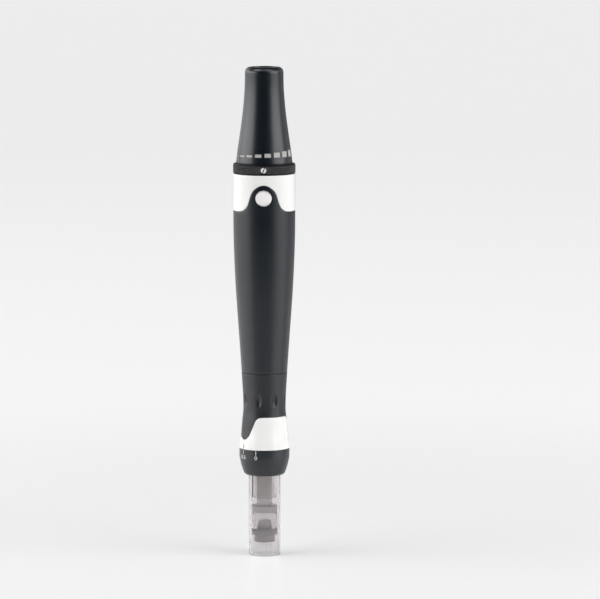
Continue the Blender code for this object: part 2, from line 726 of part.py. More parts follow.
def make_materials():
    return {
        "black_satin": material("black_satin", (0.035, 0.036, 0.04), 0.42),
        "soft_black": material("soft_black", (0.045, 0.046, 0.05), 0.6),
        "white_gloss": material("white_gloss", (0.86, 0.86, 0.84), 0.3),
        "silver": material("silver", (0.75, 0.75, 0.76), 0.35, 0.9),
        "steel": material("steel", (0.6, 0.6, 0.62), 0.3, 1.0),
        "aluminium": material("aluminium", (0.72, 0.73, 0.75), 0.38, 1.0),
        "brass": material("brass", (0.72, 0.56, 0.28), 0.35, 1.0),
        "bronze": material("bronze", (0.55, 0.4, 0.24), 0.45, 1.0),
        "clear": material("clear", (0.74, 0.7, 0.7), 0.12, 0.0, 0.35),
        "smoke": material("smoke", (0.42, 0.38, 0.38), 0.25, 0.0, 0.6),
        "rubber": material("rubber", (0.06, 0.06, 0.06), 0.75),
        "board": material("board", (0.05, 0.25, 0.12), 0.5),
        "dark_plastic": material("dark_plastic", (0.1, 0.1, 0.11), 0.5),
        "copper": material("copper", (0.7, 0.38, 0.25), 0.35, 1.0),
        "red_lead": material("red_lead", (0.55, 0.05, 0.05), 0.5),
        "black_lead": material("black_lead", (0.03, 0.03, 0.03), 0.5),
        "magnet": material("magnet", (0.2, 0.2, 0.21), 0.6),
    }


def make_tail(look):
    # Tail cap: a flared shell with a round rim and a hole for the power inlet
    rim = CAP_EDGE
    body_top = CAP_TOP - rim
    steps = 7
    heights = [CAP_BOTTOM + (body_top - CAP_BOTTOM) * i / steps for i in range(steps + 1)]
    outside = [(cap_radius(z), z) for z in heights]
    rim_radius = cap_radius(body_top)
    for turn in (35, 90):
        angle = math.radians(turn)
        outside.append((rim_radius - rim * (1 - math.cos(angle)), body_top + rim * math.sin(angle)))
    hole = JACK_NOSE_RADIUS + GAP
    roof = CAP_TOP - CAP_TOP_THICKNESS
    inside_steps = 3
    inside = [
        roof + (CAP_BOTTOM - roof) * i / inside_steps for i in range(inside_steps + 1)
    ]
    profile = outside + [(hole, CAP_TOP), (hole, roof)]
    profile += [(cap_radius(z) - CAP_WALL, z) for z in inside]
    turned("tail_cap", profile, look["black_satin"], OUTER_SIDES)

    # Power inlet, its centre pin and the ring that holds it
    bore_floor = JACK_BOTTOM + JACK_FLOOR
    pin_hole = JACK_PIN_RADIUS + CLOSE_GAP
    turned(
        "dc_jack",
        (
            (pin_hole, JACK_BOTTOM),
            (JACK_RADIUS, JACK_BOTTOM),
            (JACK_RADIUS, JACK_SHOULDER),
            (JACK_NOSE_RADIUS, JACK_SHOULDER),
            (JACK_NOSE_RADIUS, JACK_TOP),
            (JACK_BORE, JACK_TOP),
            (JACK_BORE, bore_floor),
            (pin_hole, bore_floor),
        ),
        look["dark_plastic"],
    )
    tip = JACK_TOP - JACK_PIN_RECESS
    turned(
        "dc_jack_pin",
        (
            (0, JACK_BOTTOM - JACK_PIN_TAIL),
            (JACK_PIN_RADIUS, JACK_BOTTOM - JACK_PIN_TAIL),
            (JACK_PIN_RADIUS, tip - JACK_PIN_RADIUS / 2),
            (JACK_PIN_RADIUS / 2, tip),
            (0, tip),
        ),
        look["brass"],
        SMALL_SIDES,
    )
    holder_low = JACK_BOTTOM + HOLDER_LIFT
    holder_bore = JACK_RADIUS + GAP
    tube("jack_holder", holder_bore, holder_bore + HOLDER_WALL, holder_low, holder_low + HOLDER_HEIGHT,
         look["aluminium"])

    # Bulkhead with the stem that carries the tail through the ring
    bore = STEM_RADIUS - STEM_WALL
    turned(
        "tail_bulkhead",
        (
            (bore, BULKHEAD_BOTTOM),
            (BULKHEAD_RADIUS, BULKHEAD_BOTTOM),
            (BULKHEAD_RADIUS, BARREL_TOP),
            (BULKHEAD_RADIUS - BULKHEAD_WALL, BARREL_TOP),
            (BULKHEAD_RADIUS - BULKHEAD_WALL, BULKHEAD_FLOOR_TOP),
            (STEM_RADIUS, BULKHEAD_FLOOR_TOP),
            (STEM_RADIUS, STEM_TOP),
            (bore, STEM_TOP),
        ),
        look["aluminium"],
    )
    carrier_low = CAP_BOTTOM + CARRIER_LIFT
    tube("cap_carrier", STEM_RADIUS + GAP, CARRIER_RADIUS, carrier_low, carrier_low + CARRIER_HEIGHT,
         look["aluminium"])


def make_speed_ring(look):
    # Knurled ring, the set screw that fixes it to its hub, and the wiper under the hub
    ring = tube("speed_ring", RING_BORE, RING_RADIUS, RING_BOTTOM, RING_TOP, look["black_satin"], OUTER_SIDES)
    middle = (RING_BOTTOM + RING_TOP) / 2
    hole = radial_rod("ring_screw_hole", FRONT, middle, RING_BORE - OVERRUN, RING_RADIUS + OVERRUN,
                      RING_SCREW_RADIUS + CLOSE_GAP, None, SMALL_SIDES)
    cut(ring, hole)
    tube("ring_hub", HUB_BORE, HUB_RADIUS, HUB_BOTTOM, RING_TOP, look["brass"])
    outer_end = RING_RADIUS - RING_SCREW_SUNK
    screw = radial_rod("ring_set_screw", FRONT, middle, RING_BORE, outer_end, RING_SCREW_RADIUS,
                       look["silver"], SMALL_SIDES)
    half = Vector((RING_SCREW_RADIUS + OVERRUN, SCREW_SLOT_DEPTH, SCREW_SLOT_WIDTH / 2))
    slot = block("ring_screw_slot", -half, half, None)
    slot.location = (0, -outer_end, middle)
    slot.rotation_euler = (0, SCREW_SLOT_TURN, 0)
    cut(screw, slot)
    track_top = TRACK_BOTTOM + TRACK_THICKNESS
    tube("speed_track", HUB_BORE, TRACK_RADIUS, TRACK_BOTTOM, track_top, look["board"])
    middle_radius = (HUB_BORE + HUB_RADIUS) / 2
    low = track_top + (HUB_BOTTOM - track_top - WIPER_THICKNESS) / 2
    high = low + WIPER_THICKNESS
    inner, outer = middle_radius - WIPER_WIDTH / 2, middle_radius + WIPER_WIDTH / 2
    loop = ((inner, low), (outer, low), (outer, high), (inner, high))
    arc_steps = 4
    angles = [FRONT + WIPER_ARC * (i / arc_steps - 1 / 2) for i in range(arc_steps + 1)]
    swept_loop("speed_wiper", angles, lambda i, a: loop, look["copper"], closed=False)


def make_barrel(look):
    # White upper collar and black barrel, which meet along an arch round the button
    half_gap = GAP / 2
    wavy_shell("upper_collar", arch_edge(half_gap), BARREL_TOP, barrel_radius, SHELL_WALL, (2, 1),
               look["white_gloss"])
    barrel = wavy_shell("barrel", arch_edge(-half_gap), BARREL_BOTTOM, barrel_radius, SHELL_WALL, (7, 4),
                        look["black_satin"])
    reach = BARREL_RADIUS + OVERRUN
    hole = radial_rod("button_hole", FRONT, BUTTON_HEIGHT, BUTTON_FLANGE_REACH - OVERRUN, reach,
                      BUTTON_RADIUS + GAP, None, SMALL_SIDES)
    cut(barrel, hole)


def facing_front(made):
    # Turns a piece made along +Z so that it points out of the pen's front, at the button
    made.location = (0, 0, BUTTON_HEIGHT)
    made.rotation_euler = (math.radians(90), 0, 0)


def make_button(look):
    # Round button with a flange that keeps it behind the barrel's wall
    rim = BUTTON_FACE_REACH - BUTTON_CROWN
    button = turned(
        "power_button",
        (
            (0, BUTTON_FLANGE_BACK),
            (BUTTON_FLANGE_RADIUS, BUTTON_FLANGE_BACK),
            (BUTTON_FLANGE_RADIUS, BUTTON_FLANGE_REACH),
            (BUTTON_RADIUS, BUTTON_FLANGE_REACH),
            (BUTTON_RADIUS, rim),
            (BUTTON_RADIUS * 0.87, rim + BUTTON_CROWN * 0.7),
            (BUTTON_RADIUS * 0.5, BUTTON_FACE_REACH - BUTTON_CROWN * 0.1),
            (0, BUTTON_FACE_REACH),
        ),
        look["silver"],
        OUTER_SIDES // 2,
    )
    facing_front(button)

    # Switch on the board: its plunger travels with the button
    plunger_top = BUTTON_FLANGE_BACK - GAP
    switch_back = BOARD_REACH + GAP
    plunger_low = switch_back + BUTTON_TRAVEL + CLOSE_GAP
    plunger = turned(
        "switch_plunger",
        (
            (0, plunger_low),
            (SWITCH_PLUNGER_RADIUS, plunger_low),
            (SWITCH_PLUNGER_RADIUS, plunger_top),
            (0, plunger_top),
        ),
        look["dark_plastic"],
        SMALL_SIDES,
    )
    facing_front(plunger)
    half = SWITCH_SIZE / 2
    switch = block(
        "tact_switch",
        (-half, -switch_back - SWITCH_THICKNESS, BUTTON_HEIGHT - half),
        (half, -switch_back, BUTTON_HEIGHT + half),
        look["steel"],
    )
    well = radial_rod("switch_well", FRONT, BUTTON_HEIGHT, switch_back - OVERRUN,
                      switch_back + SWITCH_THICKNESS + OVERRUN, SWITCH_PLUNGER_RADIUS + CLOSE_GAP, None,
                      SMALL_SIDES)
    cut(switch, well)
    guide_bore = BUTTON_FLANGE_RADIUS + GAP
    guide = tube("button_guide", guide_bore, guide_bore + GUIDE_WALL, switch_back,
                 switch_back + GUIDE_LENGTH, look["dark_plastic"], INNER_SIDES)
    facing_front(guide)


def make_electronics(look):
    # Board, standing behind the button, and the parts soldered to its back
    half = BOARD_WIDTH / 2
    back = -BOARD_REACH + BOARD_THICKNESS
    block("main_board", (-half, -BOARD_REACH, BOARD_BOTTOM), (half, back, BOARD_BOTTOM + BOARD_HEIGHT),
          look["board"])
    seat = back + GAP
    for name, size, rise, finish in (
        ("driver_chip", CHIP_SIZE, CHIP_RISE, look["dark_plastic"]),
        ("lead_connector", CONNECTOR_SIZE, CONNECTOR_RISE, look["white_gloss"]),
    ):
        width, depth, height = size
        low = BOARD_BOTTOM + rise
        block(name, (-width / 2, seat, low), (width / 2, seat + depth, low + height), finish)
    low = BOARD_BOTTOM + CAPACITOR_RISE
    capacitor = turned(
        "filter_capacitor",
        (
            (0, low),
            (CAPACITOR_RADIUS, low),
            (CAPACITOR_RADIUS, low + CAPACITOR_LENGTH),
            (0, low + CAPACITOR_LENGTH),
        ),
        look["dark_plastic"],
        SMALL_SIDES,
    )
    capacitor.location = (0, seat + CAPACITOR_RADIUS, 0)

    # Chassis tube with a floor over the motor and a window for the button
    chassis = turned(
        "chassis",
        (
            (CHASSIS_HOLE, CHASSIS_BOTTOM),
            (CHASSIS_RADIUS, CHASSIS_BOTTOM),
            (CHASSIS_RADIUS, CHASSIS_TOP),
            (CHASSIS_BORE, CHASSIS_TOP),
            (CHASSIS_BORE, CHASSIS_FLOOR_TOP),
            (CHASSIS_HOLE, CHASSIS_FLOOR_TOP),
        ),
        look["dark_plastic"],
    )
    half = BUTTON_FLANGE_RADIUS + GAP + GUIDE_WALL + WINDOW_CLEARANCE
    window = block(
        "button_window",
        (-half, -CHASSIS_RADIUS - OVERRUN, CHASSIS_TOP - WINDOW_HEIGHT),
        (half, -BOARD_REACH - GAP, CHASSIS_TOP + OVERRUN),
        None,
    )
    cut(chassis, window)


def make_leads(look):
    # Two supply leads from the inlet to the board, and two from the board to the motor
    seat = -BOARD_REACH + BOARD_THICKNESS + GAP
    plug_middle = seat + CONNECTOR_SIZE[1] / 2
    plug_low = BOARD_BOTTOM + CONNECTOR_RISE
    plug_high = plug_low + CONNECTOR_SIZE[2]
    behind_capacitor = seat + 2 * CAPACITOR_RADIUS + CLOSE_GAP + LEAD_RADIUS
    for side, colour in ((-1, "red_lead"), (1, "black_lead")):
        x = side * LEAD_SPACING
        word = colour.split("_")[0]
        start = JACK_BOTTOM - JACK_PIN_TAIL - LEAD_RADIUS
        knots = (
            (0.0, Vector((2 * x, 0, start))),
            (0.6, Vector((x, 0, BULKHEAD_BOTTOM))),
            (1.0, Vector((x, plug_middle, plug_high + GAP))),
        )
        wire_through("supply_lead_" + word, eased_route(knots), LEAD_RADIUS, look[colour])
        spread = side * LEAD_SPREAD
        middle = (plug_low + CHASSIS_FLOOR_TOP) / 2
        knots = (
            (0.0, Vector((x, plug_middle, plug_low - GAP))),
            (0.5, Vector((spread, behind_capacitor, middle))),
            (1.0, Vector((x, behind_capacitor, END_CAP_TOP + GAP))),
        )
        wire_through("motor_lead_" + word, eased_route(knots), LEAD_RADIUS, look[colour])


def eased_route(knots, steps=4):
    # Points between the knots, level with each knot's direction along the pen
    points = []
    for (_, start), (_, end) in zip(knots, knots[1:]):
        for i in range(steps):
            t = i / steps
            ease = t * t * (3 - 2 * t)
            place = start.lerp(end, ease)
            place.z = start.z + (end.z - start.z) * t
            points.append(place)
    points.append(knots[-1][1].copy())
    return points


def motor_radius():
    # The cradle round the motor stands in the barrel where that is narrowest
    return barrel_radius(CRADLE_BOTTOM) - SHELL_WALL - MOTOR_CLEARANCE - CRADLE_WALL - GAP


def make_motor(look):
    # Can with its bush, magnet and end cap; shaft and armature turn inside
    radius = motor_radius()
    sheet = radius - MOTOR_SHEET
    turned(
        "motor_can",
        (
            (MOTOR_NOSE_HOLE, MOTOR_BOTTOM),
            (radius, MOTOR_BOTTOM),
            (radius, MOTOR_TOP),
            (sheet, MOTOR_TOP),
            (sheet, MOTOR_FLOOR_TOP),
            (MOTOR_NOSE_HOLE, MOTOR_FLOOR_TOP),
        ),
        look["steel"],
    )
    bearing_low = MOTOR_BOTTOM - BEARING_DROP
    tube("motor_bearing", SHAFT_RADIUS + CLOSE_GAP, BEARING_RADIUS, bearing_low, bearing_low + BEARING_LENGTH,
         look["bronze"], SMALL_SIDES)
    magnet_outer = sheet - GAP
    magnet_inner = magnet_outer - MAGNET_WALL
    tube("motor_magnet", magnet_inner, magnet_outer, MAGNET_BOTTOM, MAGNET_TOP, look["magnet"])
    tube("armature", SHAFT_RADIUS + CLOSE_GAP, magnet_inner - GAP, MAGNET_BOTTOM + ARMATURE_INSET,
         MAGNET_TOP - ARMATURE_INSET, look["copper"])
    plug = sheet - GAP
    bore = SHAFT_RADIUS + GAP
    turned(
        "motor_end_cap",
        (
            (bore, MOTOR_TOP - END_CAP_PLUG),
            (plug, MOTOR_TOP - END_CAP_PLUG),
            (plug, END_CAP_BOTTOM),
            (radius, END_CAP_BOTTOM),
            (radius, END_CAP_TOP),
            (bore, END_CAP_TOP),
        ),
        look["dark_plastic"],
    )
    shaft_low = CAM_VALLEY + CAM_RECESS_DEPTH + GAP
    shaft_high = END_CAP_TOP - GAP
    turned(
        "motor_shaft",
        (
            (0, shaft_low),
            (SHAFT_RADIUS, shaft_low),
            (SHAFT_RADIUS, shaft_high),
            (0, shaft_high),
        ),
        look["steel"],
        SMALL_SIDES,
    )
    cradle_bore = radius + GAP
    nose = BEARING_RADIUS + GAP
    turned(
        "motor_cradle",
        (
            (nose, CRADLE_BOTTOM),
            (cradle_bore + CRADLE_WALL, CRADLE_BOTTOM),
            (cradle_bore + CRADLE_WALL, MOTOR_TOP),
            (cradle_bore, MOTOR_TOP),
            (cradle_bore, CRADLE_FLOOR_TOP),
            (nose, CRADLE_FLOOR_TOP),
        ),
        look["dark_plastic"],
    )


def make_drive(look):
    # Face cam: its lower face falls evenly over half a turn from the valley to the peak
    bore = SHAFT_RADIUS + CLOSE_GAP
    recess = CAM_VALLEY + CAM_RECESS_DEPTH

    def cam_loop(_i, angle):
        turn = abs((angle + math.pi) % (2 * math.pi) - math.pi)
        ramp = CAM_VALLEY - STROKE * turn / math.pi
        return (
            (CAM_RADIUS, ramp),
            (CAM_RADIUS, CAM_TOP),
            (bore, CAM_TOP),
            (bore, recess),
            (CAM_RECESS_RADIUS, recess),
            (CAM_RECESS_RADIUS, ramp),
        )

    angles = [2 * math.pi * i / OUTER_SIDES for i in range(OUTER_SIDES)]
    cam = swept_loop("face_cam", angles, cam_loop, look["steel"])
    screw_height = CAM_TOP - CAM_SCREW_DROP
    hole = radial_rod("cam_screw_hole", BACK, screw_height, bore - OVERRUN / 2, CAM_RADIUS + OVERRUN,
                      CAM_SCREW_RADIUS + CLOSE_GAP, None)
    cut(cam, hole)
    radial_rod("cam_set_screw", BACK, screw_height, bore + CLOSE_GAP, CAM_RADIUS - CLOSE_GAP,
               CAM_SCREW_RADIUS, look["steel"])

    # Follower: a cup on the rod, with a peg under the ramp and a slot for its key
    rod_seat = ROD_RADIUS + CLOSE_GAP
    seat_top = FOLLOWER_TOP_FACE - FOLLOWER_SOCKET
    inner = FOLLOWER_RADIUS - FOLLOWER_WALL
    follower = turned(
        "cam_follower",
        (
            (FOLLOWER_RADIUS, FOLLOWER_BOTTOM),
            (FOLLOWER_RADIUS, FOLLOWER_TOP_FACE),
            (0, FOLLOWER_TOP_FACE),
            (0, seat_top),
            (rod_seat, seat_top),
            (rod_seat, FOLLOWER_ROOF),
            (inner, FOLLOWER_ROOF),
            (inner, FOLLOWER_BOTTOM),
        ),
        look["bronze"],
    )
    crown = PEG_RADIUS / 3
    peg = turned(
        "follower_peg",
        (
            (0, FOLLOWER_TOP_FACE - FOLLOWER_SOCKET / 2),
            (PEG_RADIUS, FOLLOWER_TOP_FACE - FOLLOWER_SOCKET / 2),
            (PEG_RADIUS, PEG_TOP - crown),
            (PEG_RADIUS / 2, PEG_TOP),
            (0, PEG_TOP),
        ),
        None,
        PIN_SIDES,
    )
    peg.location = around(PEG_REACH, RIGHT, 0)
    cut(follower, peg, "UNION")
    slot_half = KEY_RADIUS + PIN_CLEARANCE
    slot = block(
        "follower_slot",
        (-slot_half, FOLLOWER_KEY_REACH - PIN_CLEARANCE - CLOSE_GAP, FOLLOWER_BOTTOM - OVERRUN),
        (slot_half, FOLLOWER_RADIUS + OVERRUN, FOLLOWER_TOP_FACE + OVERRUN),
        None,
    )
    cut(follower, slot)
    turned(
        "drive_rod",
        (
            (0, ROD_BOTTOM),
            (ROD_TIP_RADIUS, ROD_BOTTOM),
            (ROD_TIP_RADIUS, ROD_BOTTOM + ROD_TIP_LENGTH),
            (ROD_RADIUS, ROD_BOTTOM + ROD_TIP_LENGTH),
            (ROD_RADIUS, seat_top - CLOSE_GAP),
            (0, seat_top - CLOSE_GAP),
        ),
        look["steel"],
        SMALL_SIDES,
    )


def make_frame(look):
    # Frame through the grip, with a web for the rod's bush
    frame = turned(
        "drive_frame",
        (
            (FRAME_BORE, FRAME_BOTTOM),
            (FRAME_BASE_RADIUS, FRAME_BOTTOM),
            (FRAME_BASE_RADIUS, FRAME_STEP),
            (FRAME_RADIUS, FRAME_STEP),
            (FRAME_RADIUS, FRAME_HEAD_BOTTOM),
            (FRAME_HEAD_RADIUS, FRAME_HEAD_BOTTOM),
            (FRAME_HEAD_RADIUS, FRAME_TOP),
            (FRAME_HEAD_BORE, FRAME_TOP),
            (FRAME_HEAD_BORE, FRAME_HEAD_BOTTOM),
            (FRAME_BORE, FRAME_HEAD_BOTTOM),
            (FRAME_BORE, WEB_TOP),
            (WEB_HOLE, WEB_TOP),
            (WEB_HOLE, WEB_BOTTOM),
            (FRAME_BORE, WEB_BOTTOM),
        ),
        look["aluminium"],
    )
    keys = (
        ("socket_key", FRAME_BOTTOM + SOCKET_KEY_RISE, SOCKET_KEY_REACH, FRAME_BORE, FRAME_RADIUS),
        ("follower_key", FOLLOWER_BOTTOM + FOLLOWER_KEY_RISE, FOLLOWER_KEY_REACH, FRAME_HEAD_BORE,
         FRAME_HEAD_RADIUS),
    )
    for name, height, reach, wall_inner, wall_outer in keys:
        hole = radial_rod(name + "_hole", BACK, height, wall_inner - OVERRUN, wall_outer + OVERRUN,
                          KEY_RADIUS + CLOSE_GAP, None)
        cut(frame, hole)
        radial_rod(name, BACK, height, reach, wall_outer - CLOSE_GAP, KEY_RADIUS, look["steel"])
    turned(
        "rod_bush",
        (
            (ROD_RADIUS + CLOSE_GAP, BUSH_BOTTOM),
            (BUSH_RADIUS, BUSH_BOTTOM),
            (BUSH_RADIUS, BUSH_FLANGE_BOTTOM),
            (BUSH_FLANGE_RADIUS, BUSH_FLANGE_BOTTOM),
            (BUSH_FLANGE_RADIUS, BUSH_FLANGE_TOP),
            (ROD_RADIUS + CLOSE_GAP, BUSH_FLANGE_TOP),
        ),
        look["bronze"],
        SMALL_SIDES,
    )
    coil("return_spring", RETURN_SPRING_RADIUS, RETURN_SPRING_WIRE, BUSH_FLANGE_TOP + GAP,
         FOLLOWER_ROOF - GAP, RETURN_SPRING_TURNS, look["steel"])


def make_grip(look):
    # White lower collar and dimpled black grip, which meet along two tongues
    half_gap = GAP / 2
    lip = (COLLAR_LIP_HEIGHT, DIAL_HUB_RADIUS + CLOSE_GAP)
    wavy_shell("lower_collar", tongue_edge(-half_gap), COLLAR_BOTTOM, grip_radius, COLLAR_WALL, (3, 2),
               look["white_gloss"], lip)
    grip = wavy_shell("grip_shell", tongue_edge(half_gap), GRIP_TOP, grip_radius, SHELL_WALL, (6, 3),
                      look["soft_black"])
    # Each dimple is half an egg deep: its cutter stands half out of the surface
    spread = 1 / math.sqrt(0.75)
    height = COLLAR_BOTTOM + DIMPLE_RISE
    bm = bmesh.new()
    for i in range(DIMPLE_COUNT):
        angle = DIMPLE_FIRST + 2 * math.pi * i / DIMPLE_COUNT
        size = Matrix.Diagonal(
            (2 * DIMPLE_DEPTH, DIMPLE_WIDTH / 2 * spread, DIMPLE_HEIGHT / 2 * spread, 1)
        )
        place = Matrix.Translation(around(grip_radius(height) + DIMPLE_DEPTH, angle, height))
        turn = Matrix.Rotation(angle, 4, "Z")
        bmesh.ops.create_uvsphere(bm, u_segments=10, v_segments=6, radius=1, matrix=place @ turn @ size)
    cutter = add_object("dimples", bm, None)
    cut(grip, cutter)


def make_dial(look):
    # Nose ring that turns: its bore lets the cartridge through, its wall carries the groove
    floor = DIAL_BOTTOM + DIAL_FLOOR
    hub_top = DIAL_TOP + DIAL_HUB_HEIGHT
    ring_low = DIAL_TOP + SNAP_RING_RISE
    groove_low = ring_low - PIN_CLEARANCE
    groove_high = ring_low + SNAP_RING_THICKNESS + PIN_CLEARANCE
    groove_radius = SNAP_RING_INNER - CLOSE_GAP / 2
    outside = [(dial_radius(DIAL_BOTTOM + DIAL_HEIGHT * h), DIAL_BOTTOM + DIAL_HEIGHT * h)
               for h, _ in DIAL_OUTLINE_SHARES]
    dial = turned(
        "depth_dial",
        outside
        + [
            (DIAL_HUB_RADIUS, DIAL_TOP),
            (DIAL_HUB_RADIUS, groove_low),
            (groove_radius, groove_low),
            (groove_radius, groove_high),
            (DIAL_HUB_RADIUS, groove_high),
            (DIAL_HUB_RADIUS, hub_top),
            (DIAL_HUB_BORE, hub_top),
            (DIAL_HUB_BORE, DIAL_TOP),
            (DIAL_CAVITY, DIAL_TOP),
            (DIAL_CAVITY, floor),
            (DIAL_BORE, floor),
            (DIAL_BORE, DIAL_BOTTOM),
        ],
        look["black_satin"],
        OUTER_SIDES,
    )
    # Helical groove for the socket's pin, as the dial carries it past the pin
    half = DEPTH_PIN_RADIUS + PIN_CLEARANCE
    end_turn = half / DIAL_CAVITY
    first = -STEPS_DOWN * STEP_TURN - end_turn
    last = STEPS_UP * STEP_TURN + end_turn
    pin_height = SOCKET_BOTTOM + DEPTH_PIN_RISE

    def groove_loop(i, _angle):
        turn = turns[i]
        middle = pin_height + DEPTH_STEP * turn / STEP_TURN
        inner = DIAL_CAVITY - OVERRUN
        return (
            (inner, middle - half),
            (TRACK_GROOVE_REACH, middle - half),
            (TRACK_GROOVE_REACH, middle + half),
            (inner, middle + half),
        )

    steps = 12
    turns = [first + (last - first) * i / steps for i in range(steps + 1)]
    groove = swept_loop("depth_groove", [RIGHT - t for t in turns], groove_loop, None, closed=False)
    cut(dial, groove)

    ring = tube("dial_snap_ring", SNAP_RING_INNER, SNAP_RING_OUTER, ring_low, ring_low + SNAP_RING_THICKNESS,
                look["steel"])
    reach = SNAP_RING_OUTER + OVERRUN
    half_opening = reach * math.sin(SNAP_RING_OPENING / 2)
    opening = block("snap_ring_opening", (-half_opening, 0, ring_low - OVERRUN),
                    (half_opening, reach, ring_low + SNAP_RING_THICKNESS + OVERRUN), None)
    cut(ring, opening)
    half = FRICTION_RING_WIDTH / 2
    tube("dial_friction_ring", FRICTION_RING_RADIUS - half, FRICTION_RING_RADIUS + half, hub_top + CLOSE_GAP,
         FRAME_BOTTOM - CLOSE_GAP, look["rubber"])


def make_socket(look):
    # Socket: the cartridge's flanges fill its cup and the neck runs up its shank
    retainer_low = SOCKET_BOTTOM + RETAINER_RISE
    retainer_high = retainer_low + RETAINER_HEIGHT
    groove_radius = RETAINER_OUTER + CLOSE_GAP
    socket = turned(
        "cartridge_socket",
        (
            (SOCKET_BORE, SOCKET_BOTTOM),
            (SOCKET_RADIUS, SOCKET_BOTTOM),
            (SOCKET_RADIUS, SOCKET_STEP),
            (SOCKET_NECK_RADIUS, SOCKET_STEP),
            (SOCKET_NECK_RADIUS, SOCKET_TOP),
            (SOCKET_SHANK_RADIUS, SOCKET_TOP),
            (SOCKET_SHANK_RADIUS, SHANK_TOP),
            (SOCKET_SHANK_BORE, SHANK_TOP),
            (SOCKET_SHANK_BORE, SOCKET_ROOF),
            (SOCKET_BORE, SOCKET_ROOF),
            (SOCKET_BORE, retainer_high + CLOSE_GAP),
            (groove_radius, retainer_high + CLOSE_GAP),
            (groove_radius, retainer_low - CLOSE_GAP),
            (SOCKET_BORE, retainer_low - CLOSE_GAP),
        ),
        look["steel"],
    )
    tube("retaining_ring", RETAINER_INNER, RETAINER_OUTER, retainer_low, retainer_high, look["rubber"])

    pin_height = SOCKET_BOTTOM + DEPTH_PIN_RISE
    pin_hole = radial_rod("depth_pin_hole", RIGHT, pin_height, SOCKET_BORE - OVERRUN, SOCKET_RADIUS + OVERRUN,
                          DEPTH_PIN_RADIUS + CLOSE_GAP, None)
    cut(socket, pin_hole)
    radial_rod("depth_pin", RIGHT, pin_height, SOCKET_BORE + CLOSE_GAP, DEPTH_PIN_REACH, DEPTH_PIN_RADIUS,
               look["steel"])

    key_height = SOCKET_ROOF - CARTRIDGE_KEY_DROP
    key_hole = radial_rod("cartridge_key_hole", BACK, key_height, SOCKET_BORE - OVERRUN,
                          SOCKET_RADIUS + OVERRUN, CARTRIDGE_KEY_RADIUS + CLOSE_GAP, None)
    cut(socket, key_hole)
    radial_rod("cartridge_key", BACK, key_height, CARTRIDGE_KEY_REACH, SOCKET_NECK_RADIUS - CLOSE_GAP,
               CARTRIDGE_KEY_RADIUS, look["steel"])

    slot_half = KEY_RADIUS + PIN_CLEARANCE
    slot_low = FRAME_BOTTOM + SOCKET_KEY_RISE - KEY_RADIUS - STEPS_UP * DEPTH_STEP - GAP
    slot = block("socket_slot", (-slot_half, SOCKET_SHANK_BORE - OVERRUN, slot_low),
                 (slot_half, SOCKET_SHANK_RADIUS + OVERRUN, SHANK_TOP + OVERRUN), None)
    cut(socket, slot)


def make_cartridge(look):
    # Clear tube with a plain foot
    inner = TUBE_RADIUS - TUBE_WALL
    turned(
        "cartridge_tube",
        (
            (inner - FOOT_LIP, 0),
            (TUBE_RADIUS - FOOT_EDGE, 0),
            (TUBE_RADIUS, FOOT_EDGE),
            (TUBE_RADIUS, TUBE_LENGTH),
            (inner, TUBE_LENGTH),
            (inner, FOOT_LIP_HEIGHT + FOOT_LIP),
            (inner - FOOT_LIP, FOOT_LIP_HEIGHT),
        ),
        look["clear"],
        OUTER_SIDES,
    )
    # Core: sleeve round the column, spigot in the tube, two flanges and the spring's neck
    spigot = inner - GAP
    core = turned(
        "cartridge_core",
        (
            (CORE_BORE, CORE_BOTTOM),
            (CORE_RADIUS, CORE_BOTTOM),
            (CORE_RADIUS, LOWER_FLANGE_BOTTOM - SPIGOT_LENGTH),
            (spigot, LOWER_FLANGE_BOTTOM - SPIGOT_LENGTH),
            (spigot, LOWER_FLANGE_BOTTOM),
            (FLANGE_RADIUS, LOWER_FLANGE_BOTTOM),
            (FLANGE_RADIUS, LOWER_FLANGE_TOP),
            (FLANGE_GROOVE_RADIUS, LOWER_FLANGE_TOP),
            (FLANGE_GROOVE_RADIUS, UPPER_FLANGE_BOTTOM),
            (FLANGE_RADIUS, UPPER_FLANGE_BOTTOM),
            (FLANGE_RADIUS, UPPER_FLANGE_TOP),
            (NECK_RADIUS, UPPER_FLANGE_TOP),
            (NECK_RADIUS, NECK_TOP),
            (NECK_BORE, NECK_TOP),
            (NECK_BORE, LEDGE_TOP),
            (LEDGE_HOLE, LEDGE_TOP),
            (LEDGE_HOLE, LEDGE_BOTTOM),
            (CORE_BORE, LEDGE_BOTTOM),
        ),
        look["smoke"],
    )
    half = NOTCH_WIDTH / 2
    notch = block("flange_notch", (-half, NOTCH_REACH, UPPER_FLANGE_BOTTOM - FLANGE_GROOVE / 2),
                  (half, FLANGE_RADIUS + OVERRUN, UPPER_FLANGE_TOP + OVERRUN), None)
    cut(core, notch)
    # Plunger: the thick column pushes the carriage, the collar takes the spring
    turned(
        "plunger",
        (
            (0, COLUMN_BOTTOM),
            (COLUMN_RADIUS, COLUMN_BOTTOM),
            (COLUMN_RADIUS, COLUMN_TOP),
            (PLUNGER_RADIUS, COLUMN_TOP),
            (PLUNGER_RADIUS, PLUNGER_COLLAR_BOTTOM),
            (PLUNGER_COLLAR_RADIUS, PLUNGER_COLLAR_BOTTOM),
            (PLUNGER_COLLAR_RADIUS, PLUNGER_COLLAR_TOP),
            (PLUNGER_RADIUS, PLUNGER_COLLAR_TOP),
            (PLUNGER_RADIUS, PLUNGER_TOP - PLUNGER_CHAMFER),
            (PLUNGER_RADIUS - PLUNGER_CHAMFER, PLUNGER_TOP),
            (0, PLUNGER_TOP),
        ),
        look["smoke"],
        SMALL_SIDES,
    )
    coil("cartridge_spring", SPRING_RADIUS, SPRING_WIRE, LEDGE_TOP + CLOSE_GAP,
         PLUNGER_COLLAR_BOTTOM - CLOSE_GAP, SPRING_TURNS, look["steel"])


